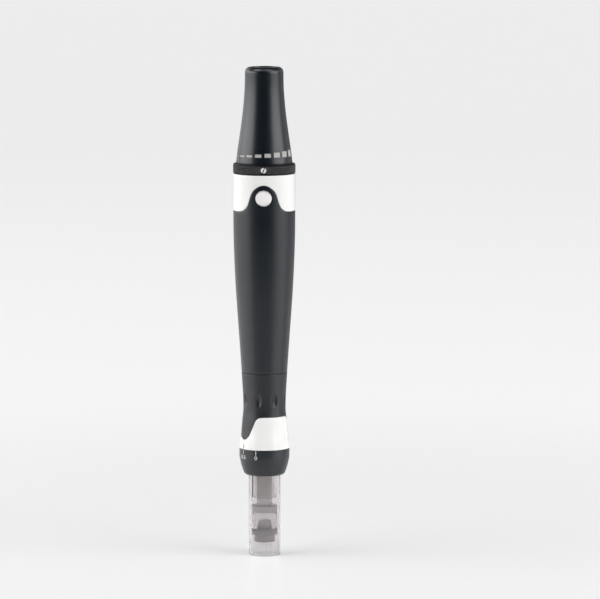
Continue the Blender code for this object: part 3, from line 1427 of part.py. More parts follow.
def make_carriage(look):
    # Disc under the column, clear cup, wiper ring and the block with its needles
    turned(
        "carriage_disc",
        (
            (0, DISC_BOTTOM),
            (DISC_RADIUS, DISC_BOTTOM),
            (DISC_RADIUS, DISC_TOP),
            (0, DISC_TOP),
        ),
        look["smoke"],
    )
    tube("needle_cup", CUP_RADIUS - CUP_WALL, CUP_RADIUS, CUP_BOTTOM, CUP_TOP, look["clear"])
    ring_outer = DISC_RADIUS
    ring_inner = ring_outer - WIPER_RING_WALL
    tube("wiper_ring", ring_inner, ring_outer, BLOCK_TOP - WIPER_RING_HEIGHT, BLOCK_TOP, look["rubber"])
    needle_block = turned(
        "needle_block",
        (
            (0, BLOCK_BOTTOM),
            (BLOCK_RADIUS, BLOCK_BOTTOM),
            (BLOCK_RADIUS, BLOCK_TOP),
            (BLOCK_STEM_RADIUS, BLOCK_TOP),
            (BLOCK_STEM_TOP_RADIUS, BLOCK_TOP + BLOCK_STEM_HEIGHT),
            (0, BLOCK_TOP + BLOCK_STEM_HEIGHT),
        ),
        look["smoke"],
    )
    root = BLOCK_BOTTOM + OVERRUN
    tip = BLOCK_BOTTOM - NEEDLE_LENGTH
    bm = bmesh.new()
    for count, reach in zip(NEEDLE_COUNTS, NEEDLE_ROW_RADII):
        for i in range(count):
            add_needle(bm, around(reach, 2 * math.pi * i / count, 0), root, tip)
    needles = add_object("needles", bm, None)
    cut(needle_block, needles, "UNION")


def add_needle(bm, place, root, tip):
    shoulder = tip + NEEDLE_POINT
    rings = []
    for height in (root, shoulder):
        ring = []
        for i in range(NEEDLE_SIDES):
            ring.append(bm.verts.new(place + around(NEEDLE_RADIUS, 2 * math.pi * i / NEEDLE_SIDES, height)))
        rings.append(ring)
    point = bm.verts.new(place + Vector((0, 0, tip)))
    bm.faces.new(rings[0])
    for i in range(NEEDLE_SIDES):
        after = (i + 1) % NEEDLE_SIDES
        bm.faces.new((rings[0][i], rings[0][after], rings[1][after], rings[1][i]))
        bm.faces.new((rings[1][i], rings[1][after], point))


def hang_on(name, parent, location, children):
    # An empty on a moving body's axis, carrying that body's pieces where they stand
    empty = bpy.data.objects.new(name, None)
    empty.empty_display_size = OVERRUN
    bpy.context.collection.objects.link(empty)
    empty.parent = parent
    empty.location = Vector(location) - (parent.matrix_world.translation if parent else Vector())
    bpy.context.view_layer.update()
    for child in children:
        piece = bpy.data.objects[child]
        piece.parent = empty
        piece.location = piece.location - empty.matrix_world.translation
    bpy.context.view_layer.update()
    return empty


def main():
    clear_scene()
    look = make_materials()
    make_tail(look)
    make_speed_ring(look)
    make_barrel(look)
    make_button(look)
    make_electronics(look)
    make_leads(look)
    make_motor(look)
    make_drive(look)
    make_frame(look)
    make_grip(look)
    make_dial(look)
    make_socket(look)
    make_cartridge(look)
    make_carriage(look)

    origin = (0, 0, 0)
    handle = hang_on("handle_axis", None, origin, ())
    hang_on("speed_ring_axis", handle, origin, ("speed_ring", "ring_set_screw", "ring_hub", "speed_wiper"))
    hang_on("power_button_axis", handle, (0, 0, BUTTON_HEIGHT), ("power_button", "switch_plunger"))
    hang_on("depth_dial_axis", handle, origin, ("depth_dial",))
    hang_on("rotor_axis", handle, origin, ("motor_shaft", "armature", "face_cam", "cam_set_screw"))
    rod = hang_on("drive_rod_axis", handle, origin, ("drive_rod", "cam_follower"))
    hang_on("needle_carriage_axis", rod, origin,
            ("plunger", "carriage_disc", "needle_cup", "wiper_ring", "needle_block"))
    socket = hang_on("socket_axis", handle, origin,
                     ("cartridge_socket", "retaining_ring", "depth_pin", "cartridge_key"))
    hang_on("cartridge_axis", socket, origin, ("cartridge_tube", "cartridge_core", "cartridge_spring"))
    handle_pieces = [made for made in bpy.data.objects
                     if made.type != "EMPTY" and made.parent is None and not made.hide_render]
    for piece in handle_pieces:
        piece.parent = handle


main()
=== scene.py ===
# The pen's finished look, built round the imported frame.
# Metres, +Z up the pen, the floor at zero, the power button towards -Y.
from math import cos, pi, radians, sin, sqrt, tan

import bmesh
import bpy
from mathutils import Matrix, Vector


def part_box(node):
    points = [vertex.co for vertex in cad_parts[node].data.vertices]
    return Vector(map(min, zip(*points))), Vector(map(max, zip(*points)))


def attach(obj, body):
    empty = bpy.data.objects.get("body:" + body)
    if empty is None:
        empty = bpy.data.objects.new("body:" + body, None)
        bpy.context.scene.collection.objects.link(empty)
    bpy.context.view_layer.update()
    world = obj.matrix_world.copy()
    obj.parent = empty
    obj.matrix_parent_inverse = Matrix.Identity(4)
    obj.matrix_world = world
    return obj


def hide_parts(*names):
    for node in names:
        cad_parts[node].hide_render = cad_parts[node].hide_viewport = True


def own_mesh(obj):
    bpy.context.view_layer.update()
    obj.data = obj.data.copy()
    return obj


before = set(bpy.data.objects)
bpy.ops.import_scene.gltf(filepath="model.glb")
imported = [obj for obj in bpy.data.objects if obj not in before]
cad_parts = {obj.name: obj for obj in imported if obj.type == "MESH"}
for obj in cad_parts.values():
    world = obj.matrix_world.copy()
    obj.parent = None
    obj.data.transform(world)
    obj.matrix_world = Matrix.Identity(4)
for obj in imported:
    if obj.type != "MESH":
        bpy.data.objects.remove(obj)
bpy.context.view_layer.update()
mm = 0.001
fullTurn = 2 * pi
front = radians(-90)
print("frame loaded:", len(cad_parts), "nodes")


class Settings(dict):
    # A dictionary whose values are also read as settings.key
    __getattr__ = dict.__getitem__


def lengths(**values):
    # Values given in millimetres
    return {key: value * mm for key, value in values.items()}


# Values that many pieces share
shared = Settings(
    cadGap=0.3 * mm,  # clearance between neighbouring solids in the frame
    seam=0.05 * mm,  # what each side of a visible joint keeps back
    edge=0.12 * mm,  # rounding of a shell's rim
    wall=1.1 * mm,
    outside=12.0 * mm,  # beyond the widest piece
    sides=160,  # round a turned piece
    sharp=radians(40),  # steeper folds are edges
)


def operator(name, swapped=False):
    # A Python operator that adds a Math node
    def apply(self, other):
        pair = (other, self) if swapped else (self, other)
        return self.graph.maths(name, *pair)

    return apply


class Value:
    # A node socket that Python's operators work on
    def __init__(self, graph, socket):
        self.graph = graph
        self.socket = socket

    __add__ = __radd__ = operator("ADD")
    __mul__ = __rmul__ = operator("MULTIPLY")
    __sub__ = operator("SUBTRACT")
    __rsub__ = operator("SUBTRACT", True)
    __truediv__ = operator("DIVIDE")
    __rtruediv__ = operator("DIVIDE", True)
    __mod__ = operator("FLOORED_MODULO")

    def output(self, name):
        return Value(self.graph, self.socket.node.outputs[name])


class Graph:
    # A shader or geometry tree that is filled in from Python
    family = "GeometryNode"

    def __init__(self, tree):
        self.tree = tree

    def node(self, kind, inputs=None, output=0, **settings):
        made = self.tree.nodes.new(kind if "Node" in kind else self.family + kind)
        for key, value in settings.items():
            setattr(made, key, value)
        for key, value in (inputs or {}).items():
            self.feed(made.inputs[key], value)
        return Value(self, made.outputs[output]) if made.outputs else made

    def feed(self, socket, value):
        if isinstance(value, Value):
            self.tree.links.new(value.socket, socket)
        else:
            socket.default_value = value

    def maths(self, operation, *operands):
        return self.node("ShaderNodeMath", dict(enumerate(operands)), operation=operation)

    def vector(self, x, y, z):
        return self.node("ShaderNodeCombineXYZ", {0: x, 1: y, 2: z})

    def polar(self, radius, angle, z):
        return self.vector(radius * self.maths("COSINE", angle), radius * self.maths("SINE", angle), z)

    def split(self, vector):
        x = self.node("ShaderNodeSeparateXYZ", {0: vector})
        return x, x.output("Y"), x.output("Z")


class Finish(Graph):
    # A material with one Principled shader, in the object's own coordinates. Sizes and
    # depths are in millimetres.
    family = "ShaderNode"

    def __init__(self, name, colour, roughness, metallic=0.0, **sockets):
        self.made = bpy.data.materials.new(name)
        self.made.use_nodes = True
        super().__init__(self.made.node_tree)
        self.shader = self.tree.nodes["Principled BSDF"]
        sockets = {"Base Color": (*colour, 1.0), "Roughness": roughness, "Metallic": metallic, **sockets}
        for key, value in sockets.items():
            self.set(key.replace("_", " "), value)
        self.place = self.node("TexCoord", output="Object")

    def set(self, name, value):
        self.feed(self.shader.inputs[name], value)

    def noise(self, size, detail=2.0, place=None):
        inputs = {"Vector": place or self.place, "Scale": 1 / (size * mm), "Detail": detail}
        return self.node("TexNoise", inputs)

    def cylinder(self):
        # Angle, radius and height round the pen's axis
        x, y, z = self.split(self.place)
        return self.maths("ARCTAN2", y, x), self.maths("SQRT", x * x + y * y), z

    def between(self, value, low, high):
        # 0 up to the low value, 1 from the high one on
        return self.node("MapRange", {0: value, 1: low, 2: high})

    def nearSkin(self, node, depths):
        # The same between two depths below a node's outside
        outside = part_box(node)[1].x
        low, high = (outside - depth * mm for depth in depths)
        return self.between(self.cylinder()[1], low, high)

    def done(self, mask, low, high, bumps=None, depth=0.0):
        # Base colour from one shade to another along a mask, and any bumps
        inputs = {0: mask, 6: (*low, 1.0), 7: (*high, 1.0)}
        self.set("Base Color", self.node("Mix", inputs, 2, data_type="RGBA"))
        if bumps:
            self.set("Normal", self.node("Bump", {"Height": bumps, "Distance": depth * mm}))
        return self.made


def shade(colour, factor):
    return tuple(min(1.0, channel * factor) for channel in colour)


def paintedFinish(name, colour, roughness, grain, depth, spread=0.12, **sockets):
    # Paint or moulded plastic: fine skin, slightly uneven gloss and shade
    made = Finish(name, colour, roughness, **sockets)
    broad = made.noise(14 * grain)
    fine = made.noise(grain, 3.0)
    made.set("Roughness", roughness * (1 - spread + 2 * spread * (0.4 * broad + 0.6 * fine)))
    return made.done(broad, shade(colour, 1 - spread), shade(colour, 1 + spread), fine, depth)


def turnedMetal(name, colour, roughness, pitch, depth, smearSize=0.8):
    # Metal from the lathe: fine rings along the axis and across the end faces
    made = Finish(name, colour, roughness, 1.0)
    angle, radius, height = made.cylinder()
    rings = made.noise(pitch, 1.0, made.vector(radius, 0.0, height))
    smear = made.noise(smearSize)
    made.set("Roughness", roughness * (0.75 + 0.3 * rings + 0.2 * smear))
    return made.done(smear, shade(colour, 0.9), shade(colour, 1.06), rings, depth)


def clearFinish(name, colour, roughness, ripple, depth, clarity, bending, streak=0.03):
    # Moulded plastic, clear to milky, with a faint ripple and streaks along the pen
    made = Finish(name, colour, roughness, Transmission_Weight=clarity, IOR=bending)
    x, y, z = made.split(made.place)
    streaks = made.noise(0.4 * ripple, 1.0, made.vector(x, y, z * 0.04))
    return made.done(streaks, shade(colour, 1 - streak), shade(colour, 1 + streak), made.noise(ripple),
                     depth)


def tubeFinish(name, skin, bore, roughness, bending, fade=(0.5, 0.3), patch=2,
               ripple=3, depth=0.0008):
    # Clear tube whose outer skin is smokier than its bore
    made = Finish(name, skin, roughness, Transmission_Weight=0.9, IOR=bending, Specular_IOR_Level=0.2)
    made.set("Roughness", roughness * (0.8 + 0.4 * made.noise(patch)))
    return made.done(made.nearSkin("cartridge_tube", fade), bore, skin, made.noise(ripple), depth)


def fadedFinish(name, colour, pale, roughness, reach=2, patch=0.5, ripple=1.2,
                depth=0.01):
    # Smoky plastic that grows paler up the needle block's stem
    made = Finish(name, colour, roughness, Transmission_Weight=0.4, IOR=1.35)
    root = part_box("wiper_ring")[1].z
    fade = made.between(made.cylinder()[2], root, root + reach * mm)
    mask = fade * (0.85 + 0.3 * made.noise(patch, 1.0))
    return made.done(mask, colour, pale, made.noise(ripple), depth)


def windingFinish(name, colour, wire):
    # Lacquered copper wire, laid round the armature, its grooves between the turns painted darker as
    # painted shade
    made = Finish(name, colour, 0.32, 0.9)
    angle, radius, height = made.cylinder()
    strand = made.maths("SINE", height * (fullTurn / (wire * mm)) + angle)
    # Painted shade: where the wire's bump dips, the copper is tinted down to 0.45 of its colour
    return made.done(0.5 + 0.5 * strand, shade(colour, 0.45), colour, strand, 0.2 * wire)


def boardFinish(name, colour, pitch, depth=0.03):
    # Solder mask with the copper tracks showing through as paler lines
    made = Finish(name, colour, 0.35)
    across = made.split(made.place)[0]
    line = made.maths("PINGPONG", across / (pitch * mm) + 3 * made.noise(6 * pitch, 1.0), 0.5)
    mask = made.maths("LESS_THAN", line, 0.16)
    return made.done(mask, colour, shade(colour, 2.2), mask, depth)


def knurledFinish(name, colour, roughness, tips=(0.05, 0.02), patch=1.5):
    # Anodised metal whose knurled tips are painted much brighter, a painted highlight standing in for
    # the glints on the points
    made = Finish(name, colour, roughness, Specular_IOR_Level=0.22)
    highlightedTips = made.nearSkin("speed_ring", tips)
    made.set("Roughness", roughness - 0.15 * highlightedTips)
    # Painted highlight: near the outside the black is tinted up to 25 times brighter
    return made.done(highlightedTips * (0.85 + 0.15 * made.noise(patch, 3.0)), colour, shade(colour, 25.0))


def slottedFinish(name, colour, roughness, slot=(0.3, 0.2), patch=0.3):
    # Plated screw whose slot is painted dark, a painted shade in the recess
    made = Finish(name, colour, roughness, 0.2)
    made.set("Roughness", roughness + 0.1 * made.noise(patch))
    # Painted shade: deeper in the slot the plating is tinted down to 0.04 of its colour
    return made.done(made.nearSkin("speed_ring", slot), shade(colour, 0.04), colour)


look = dict(
    satin=paintedFinish("satinBlack", (0.0012, 0.0042, 0.0085), 0.34, 0.25, 0.003,
                        Specular_IOR_Level=0.6),
    soft=paintedFinish("softBlack", (0.0045, 0.0062, 0.0095), 0.43, 0.16, 0.006,
                       Specular_IOR_Level=0.6),
    white=paintedFinish("whiteGloss", (0.862, 0.862, 0.85), 0.22, 0.9, 0.003, 0.015,
                        Specular_IOR_Level=0.35, Coat_Weight=0.2, Coat_Roughness=0.08),
    knurl=knurledFinish("knurledBlack", (0.0043, 0.0041, 0.0042), 0.42),
    barPrint=paintedFinish("barPrint", (0.40, 0.395, 0.38), 0.55, 0.1, 0.004, 0.14),
    silverPrint=paintedFinish("silverPrint", (0.62, 0.61, 0.59), 0.5, 0.12, 0.004, 0.1),
    darkPrint=paintedFinish("darkPrint", (0.03, 0.03, 0.03), 0.5, 0.12, 0.003),
    pearl=paintedFinish("pearlSilver", (0.93, 0.905, 0.90), 0.4, 0.1, 0.003, 0.03,
                        Metallic=0.05),
    screw=slottedFinish("platedScrew", (0.86, 0.86, 0.86), 0.35),
    needle=turnedMetal("needleSteel", (0.82, 0.82, 0.82), 0.22, 0.05, 0.002),
    steel=turnedMetal("turnedSteel", (0.56, 0.56, 0.58), 0.28, 0.08, 0.004),
    aluminium=turnedMetal("turnedAluminium", (0.72, 0.73, 0.75), 0.34, 0.12, 0.004),
    brass=turnedMetal("turnedBrass", (0.78, 0.6, 0.3), 0.26, 0.09, 0.003),
    bronze=turnedMetal("sinteredBronze", (0.5, 0.36, 0.22), 0.5, 0.3, 0.012),
    clear=tubeFinish("clearTube", (0.82, 0.80, 0.81), (0.99, 0.975, 0.98), 0.05, 1.18),
    sleeve=clearFinish("sleeveClear", (0.92, 0.89, 0.88), 0.06, 1.2, 0.002, 0.9, 1.18),
    smoke=clearFinish("smokeClear", (0.99, 0.94, 0.94), 0.22, 1.2, 0.01, 0.5, 1.35, 0.12),
    disc=clearFinish("discSmoke", (0.84, 0.785, 0.785), 0.25, 1.2, 0.01, 0.45, 1.35, 0.12),
    block=fadedFinish("blockSmoke", (0.53, 0.49, 0.495), (0.95, 0.89, 0.895), 0.3),
    cup=clearFinish("cupClear", (0.975, 0.95, 0.955), 0.08, 1.4, 0.004, 0.93, 1.2),
    rubber=clearFinish("greyRubber", (0.60, 0.57, 0.575), 0.4, 0.3, 0.006, 0.45, 1.35, 0.1),
    rib=paintedFinish("greyRib", (0.14, 0.133, 0.133), 0.5, 0.2, 0.004),
    seal=paintedFinish("blackRubber", (0.03, 0.03, 0.03), 0.75, 0.12, 0.01),
    moulded=paintedFinish("mouldedBlack", (0.05, 0.05, 0.052), 0.5, 0.2, 0.008),
    pale=paintedFinish("mouldedPale", (0.82, 0.81, 0.75), 0.45, 0.3, 0.006, 0.03),
    redLead=paintedFinish("redInsulation", (0.5, 0.03, 0.03), 0.4, 0.3, 0.004),
    blackLead=paintedFinish("blackInsulation", (0.02, 0.02, 0.02), 0.4, 0.3, 0.004),
    magnet=paintedFinish("sinteredMagnet", (0.12, 0.12, 0.125), 0.55, 0.15, 0.015, 0.2,
                         Metallic=0.6),
    winding=windingFinish("copperWinding", (0.72, 0.33, 0.16), 0.35),
    board=boardFinish("solderMask", (0.02, 0.14, 0.07), 0.9),
)
print("finishes made:", len(look))


def smoothValue(points, x):
    # A smooth curve through points that are sorted by their first value
    if x <= points[0][0]:
        return points[0][1]
    if x >= points[-1][0]:
        return points[-1][1]
    i = max(k for k in range(len(points) - 1) if points[k][0] <= x)
    slopes = []
    for k in (i, i + 1):
        before, after = points[max(k - 1, 0)], points[min(k + 1, len(points) - 1)]
        slopes.append((after[1] - before[1]) / (after[0] - before[0]))
    (left, start), (right, end) = points[i], points[i + 1]
    width = right - left
    t = (x - left) / width
    rise = start * (2 * t**3 - 3 * t**2 + 1) + end * (3 * t**2 - 2 * t**3)
    return rise + width * (slopes[0] * (t**3 - 2 * t**2 + t) + slopes[1] * (t**3 - t**2))


def around(radius, angle, height):
    return Vector((radius * cos(angle), radius * sin(angle), height))


def evenly(first, last, steps):
    return [first + (last - first) * k / steps for k in range(steps + 1)]


def placed(name, data):
    made = bpy.data.objects.new(name, data)
    bpy.context.collection.objects.link(made)
    return made


def addPiece(name, bm, finish):
    bmesh.ops.recalc_face_normals(bm, faces=bm.faces[:])
    mesh = bpy.data.meshes.new(name)
    bm.to_mesh(mesh)
    bm.free()
    return addMesh(name, mesh, finish)


def addMesh(name, mesh, finish, sharp=shared.sharp):
    mesh.shade_smooth()
    mesh.set_sharp_from_angle(angle=sharp)
    mesh.materials.clear()
    mesh.materials.append(look[finish])
    return placed(name, mesh)


def bridge(bm, here, there):
    # Faces between two rings, either of which may be a single point
    count = max(len(here), len(there))
    if count == 1:
        return
    for k in range(count):
        after = (k + 1) % count
        corners = [here[k % len(here)], here[after % len(here)], there[after % len(there)],
                   there[k % len(there)]]
        bm.faces.new(list(dict.fromkeys(corners)))


def rounded(points, steps=4):
    # Corners with a rounding (radius, height, rounding) become arcs
    made = []
    for i, (r, z, *size) in enumerate(points):
        if not size:
            made.append((r, z))
            continue
        here = Vector((r, z))
        before = Vector(points[i - 1][:2])
        after = Vector(points[(i + 1) % len(points)][:2])
        toBefore, toAfter = (before - here).normalized(), (after - here).normalized()
        half = toBefore.angle(toAfter) / 2
        reach = size[0] / tan(half)
        centre = here + (toBefore + toAfter).normalized() * size[0] / sin(half)
        start = here + toBefore * reach - centre
        end = here + toAfter * reach - centre
        sweep = pi - 2 * half
        for t in evenly(0, 1, steps):
            arc = (start * sin((1 - t) * sweep) + end * sin(t * sweep)) / sin(sweep)
            made.append(tuple(centre + arc))
    return made


def spun(name, outline, finish, sides=shared.sides):
    # A closed outline of radius and height, turned round the pen's axis
    bm = bmesh.new()
    rings = []
    for r, z in outline:
        if r < 1e-7:
            rings.append([bm.verts.new((0, 0, z))])
        else:
            rings.append([bm.verts.new(around(r, fullTurn * i / sides, z)) for i in range(sides)])
    for here, there in zip(rings, rings[1:] + rings[:1]):
        bridge(bm, here, there)
    return addPiece(name, bm, finish)


def settle(piece, body, slot, *nodes):
    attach(piece, body)
    if nodes:
        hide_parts(*nodes)
    return piece


def turned(name, finish, sides, body, slot, node, points):
    # A piece from the lathe that takes a node's place
    settle(spun(name, rounded(points), finish, sides), body, slot, node)


def columnAngles(centres, spread, coarse, fine):
    # Angles round the pen, closer together where the edge has its lobes
    angles = []
    angle = 0.0
    while angle < fullTurn - coarse / 2:
        angles.append(angle)
        near = any(abs((angle - c + pi) % fullTurn - pi) < spread for c in centres)
        angle += fine if near else coarse
    return angles


def wavyEdge(lobes, shares, flat, rise, radius):
    # Height of an edge with lobes (centre, spread on either side), moved square to itself
    mirrored = [(-a, h) for a, h in reversed(shares[1:])] + list(shares)
    tableShares = [(-1.3, 0.0)] + mirrored + [(1.3, 0.0)]

    def height(angle):
        total = flat
        for centre, spreadBefore, spreadAfter in lobes:
            side = (angle - centre + pi) % fullTurn - pi
            side /= spreadBefore if side < 0 else spreadAfter
            if abs(side) < 1.3:
                total += rise * smoothValue(tableShares, side)
        return total

    def moved(angle, offset):
        step = 0.002
        slope = (height(angle + step) - height(angle - step)) / (2 * step * radius)
        return height(angle) + offset * sqrt(1 + slope * slope)

    return moved


def wavyShell(name, angles, nearAt, far, radiusAt, wall, rows, finish, lip=None, innerRows=8):
    # A shell from a level end, which may have a lip (height, bore) inside, to a wavy one
    edge = shared.edge
    turns = [radians(t) for t in (0, 30, 60, 90)]
    bm = bmesh.new()
    rings = []
    for angle in angles:
        near = nearAt(angle)
        side = 1 if near > far else -1
        farRim = [(far + side * edge * (1 - sin(t)), edge * (1 - cos(t))) for t in reversed(turns)]
        rowHeights = evenly(far + side * edge, near - side * edge, rows)[1:-1]
        nearRim = [(near - side * edge * (1 - sin(t)), edge * (1 - cos(t))) for t in turns]
        outside = farRim + [(z, 0.0) for z in rowHeights] + nearRim
        loop = [(radiusAt(angle, z) - back, z) for z, back in outside]
        first = far + side * lip[0] if lip else far
        loop += [(radiusAt(angle, z) - wall, z) for z in evenly(near, first, innerRows)]
        if lip:
            loop += [(lip[1], first), (lip[1], far)]
        rings.append([bm.verts.new(around(r, angle, z)) for r, z in loop])
    for here, there in zip(rings, rings[1:] + rings[:1]):
        bridge(bm, here, there)
    return addPiece(name, bm, finish)


def finalMesh(piece):
    # The mesh that a piece's modifiers make of it
    return bpy.data.meshes.new_from_object(piece.evaluated_get(bpy.context.evaluated_depsgraph_get()))


def cutAway(piece, cutter):
    # Applies a Boolean cut and drops the cutter
    change = piece.modifiers.new("cut", "BOOLEAN")
    change.operation = "DIFFERENCE"
    change.solver = "EXACT"
    change.object = cutter
    mesh = finalMesh(piece)
    piece.modifiers.clear()
    piece.data = mesh
    mesh.shade_smooth()
    mesh.set_sharp_from_angle(angle=shared.sharp)
    bpy.data.objects.remove(cutter)
    return piece


def pointedOut(piece, angle, height):
    # Turns a piece made along +Z so that it points out of the pen at an angle
    turned = Matrix.Rotation(angle, 4, "Z") @ Matrix.Rotation(radians(90), 4, "Y")
    piece.data.transform(Matrix.Translation((0, 0, height)) @ turned)
    return piece


def bored(piece, finish, sides, radius, floor, height):
    # Cuts a round hole in the pen's front, down to a floor near its axis
    outline = [(0, floor), (radius, floor), (radius, shared.outside), (0, shared.outside)]
    return cutAway(piece, pointedOut(spun("bore", outline, finish, sides), front, height))


def boxCut(piece, finish, middle, size, turn=0.0):
    bm = bmesh.new()
    bmesh.ops.create_cube(bm, size=1.0)
    place = Matrix.Translation(middle) @ Matrix.Rotation(turn, 4, "Z") @ Matrix.Diagonal((*size, 1))
    bmesh.ops.transform(bm, matrix=place, verts=bm.verts)
    return cutAway(piece, addPiece("cutter", bm, finish))


def repeated(name, values, build, finish, sharp=shared.sharp):
    # A plain mesh from a Geometry Nodes tree with named inputs
    tree = bpy.data.node_groups.new(name + "Tree", "GeometryNodeTree")
    tree.interface.new_socket("Geometry", in_out="OUTPUT", socket_type="NodeSocketGeometry")
    values = dict(values, finish=look[finish])
    kinds = {int: "NodeSocketInt", float: "NodeSocketFloat"}
    sockets = {}
    for key, value in values.items():
        kind = kinds.get(type(value), "NodeSocketMaterial")
        sockets[key] = tree.interface.new_socket(key, in_out="INPUT", socket_type=kind)
    graph = Graph(tree)
    group = graph.node("NodeGroupInput")
    inputs = Settings({key: group.output(key) for key in values})
    geometry = graph.node("RealizeInstances", {0: build(graph, inputs)})
    geometry = graph.node("SetMaterial", {0: geometry, "Material": inputs.finish})
    graph.node("NodeGroupOutput", {0: geometry})
    carrier = placed(name + "Carrier", bpy.data.meshes.new(name + "Carrier"))
    modifier = carrier.modifiers.new("nodes", "NODES")
    modifier.node_group = tree
    for key, value in values.items():
        modifier[sockets[key].identifier] = value
    mesh = finalMesh(carrier)
    bpy.data.objects.remove(carrier)
    mesh.name = name
    return addMesh(name, mesh, finish, sharp)


def wrappedMarks(graph, v):
    # Bars laid out flat, by angle, depth and height, then wrapped on the pen
    index = graph.node("InputIndex")
    height = v.firstHeight + v.growth * index
    angle = v.first + v.pitch * index
    points = graph.node("Points", {"Count": v.count})
    place = graph.vector(angle, 0.0, v.base + height * 0.5)
    points = graph.node("SetPosition", {0: points, "Position": place})
    bar = graph.node("MeshCube", {"Vertices X": 9, "Vertices Y": 2, "Vertices Z": 4})
    size = graph.vector(v.width, v.proud * 2, height)
    placing = {"Points": points, "Instance": bar, "Scale": size}
    marks = graph.node("InstanceOnPoints", placing)
    marks = graph.node("RealizeInstances", {0: marks})
    angle, depth, z = graph.split(graph.node("InputPosition"))
    t = (z - v.base) / v.span
    surface = (v.lowRadius * (1 - t) * (1 - 2 * t) + v.middleRadius * 4 * t * (1 - t)
               + v.highRadius * t * (2 * t - 1))
    wrapped = graph.polar(surface + depth, angle, z)
    return graph.node("SetPosition", {0: marks, "Position": wrapped})


def printedMarks(name, marks, radiusAt, finish):
    base, span = marks.base, marks.firstHeight + marks.growth * (marks.count - 1)
    values = dict(marks, span=span, lowRadius=radiusAt(base), middleRadius=radiusAt(base + span / 2),
                  highRadius=radiusAt(base + span))
    return repeated(name, values, wrappedMarks, finish)


def ends(node):
    # Its lowest and highest point
    low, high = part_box(node)
    return low.z, high.z


# Heights that the frame fixes
capBottom, capTop = ends("tail_cap")
ringBottom, ringTop = ends("speed_ring")
barrelBottom, barrelTop = ends("barrel")[0], ends("upper_collar")[1]
collarBottom, gripTop = ends("lower_collar")[0], ends("grip_shell")[1]
dialBottom, dialTop = ends("depth_dial")[0], collarBottom - shared.cadGap
seam = shared.seam
# Each shell grows into the frame's gap until only the seam is left
grow = shared.cadGap / 2 - seam

barrelOutline = Settings(
    radius=11.0 * mm,
    shares=((0, 0), (0.14, 0.225), (0.28, 0.466), (0.42, 0.695), (0.56, 0.863), (0.7, 0.966),
            (0.84, 0.989), (1, 1)),
)
gripOutline = Settings(
    radius=8.9 * mm,
    shares=((0, 1), (0.1, 0.972), (0.22, 0.925), (0.36, 0.888), (0.5, 0.847), (0.66, 0.85),
            (0.82, 0.876), (1, 0.91)),
)
capOutline = Settings(
    radius=9.98 * mm, top=6.81 * mm,
    shares=((0, 1), (0.13, 0.836), (0.27, 0.616), (0.41, 0.409), (0.55, 0.23), (0.69, 0.094),
            (0.82, 0.016), (1, 0)),
)
dialOutline = Settings(
    radius=8.9 * mm, nose=6.7 * mm,
    shares=((0, 0), (0.06, 0.25), (0.14, 0.4), (0.26, 0.57), (0.38, 0.73), (0.52, 0.85),
            (0.68, 0.97), (1, 1)),
)


def outlined(outline, low, high, least):
    # The radius at a height, from shares of the way from the least radius to the full one
    def radius(z):
        share = smoothValue(outline.shares, (z - low) / (high - low))
        return least + (outline.radius - least) * share

    return radius


mouth = gripOutline.radius * gripOutline.shares[-1][1]
barrelRadius = outlined(barrelOutline, barrelBottom, barrelTop, mouth)
gripRadius = outlined(gripOutline, collarBottom, gripTop, 0.0)
capRadius = outlined(capOutline, capBottom, capTop, capOutline.top)
dialRadius = outlined(dialOutline, dialBottom, dialTop, dialOutline.nose)

# Camera first: eye level with a tall still life, a long lens, the pen left of the middle
camera = Settings(
    turn=radians(1.4),  # how far right of the button's middle it stands
    distance=1.65, height=0.279, aimRight=12.63 * mm, aimHeight=91.4 * mm, lens=281.0, sensor=36.0,
    nearest=0.05, farthest=20.0,
)


def pointAt(made, target):
    made.rotation_euler = (target - made.location).to_track_quat("-Z", "Y").to_euler()


def makeCamera():
    data = bpy.data.cameras.new("camera")
    made = placed("camera", data)
    made.location = around(camera.distance, front + camera.turn, camera.height)
    pointAt(made, around(camera.aimRight, camera.turn, camera.aimHeight))
    data.lens = camera.lens
    data.sensor_width = camera.sensor
    data.clip_start = camera.nearest
    data.clip_end = camera.farthest
    bpy.context.scene.camera = made


makeCamera()
print("camera placed")

# Tail cap with its power inlet
tail = Settings(
    lengths(rim=1.9, wall=1.4, roof=1.8, hole=3.45, holeEdge=0.25),
    rows=48, innerRows=10,
)
inlet = Settings(
    lengths(nose=3.3, body=4.4, bore=2.85, pinHole=1.2, noseLength=2.1, floor=4.0, lip=0.2,
            pin=1.0, pinRecess=2.2, pinTail=1.0, pinEdge=0.1, pinTip=0.45, pinBore=0.35,
            pinBoreDepth=1.2),
)


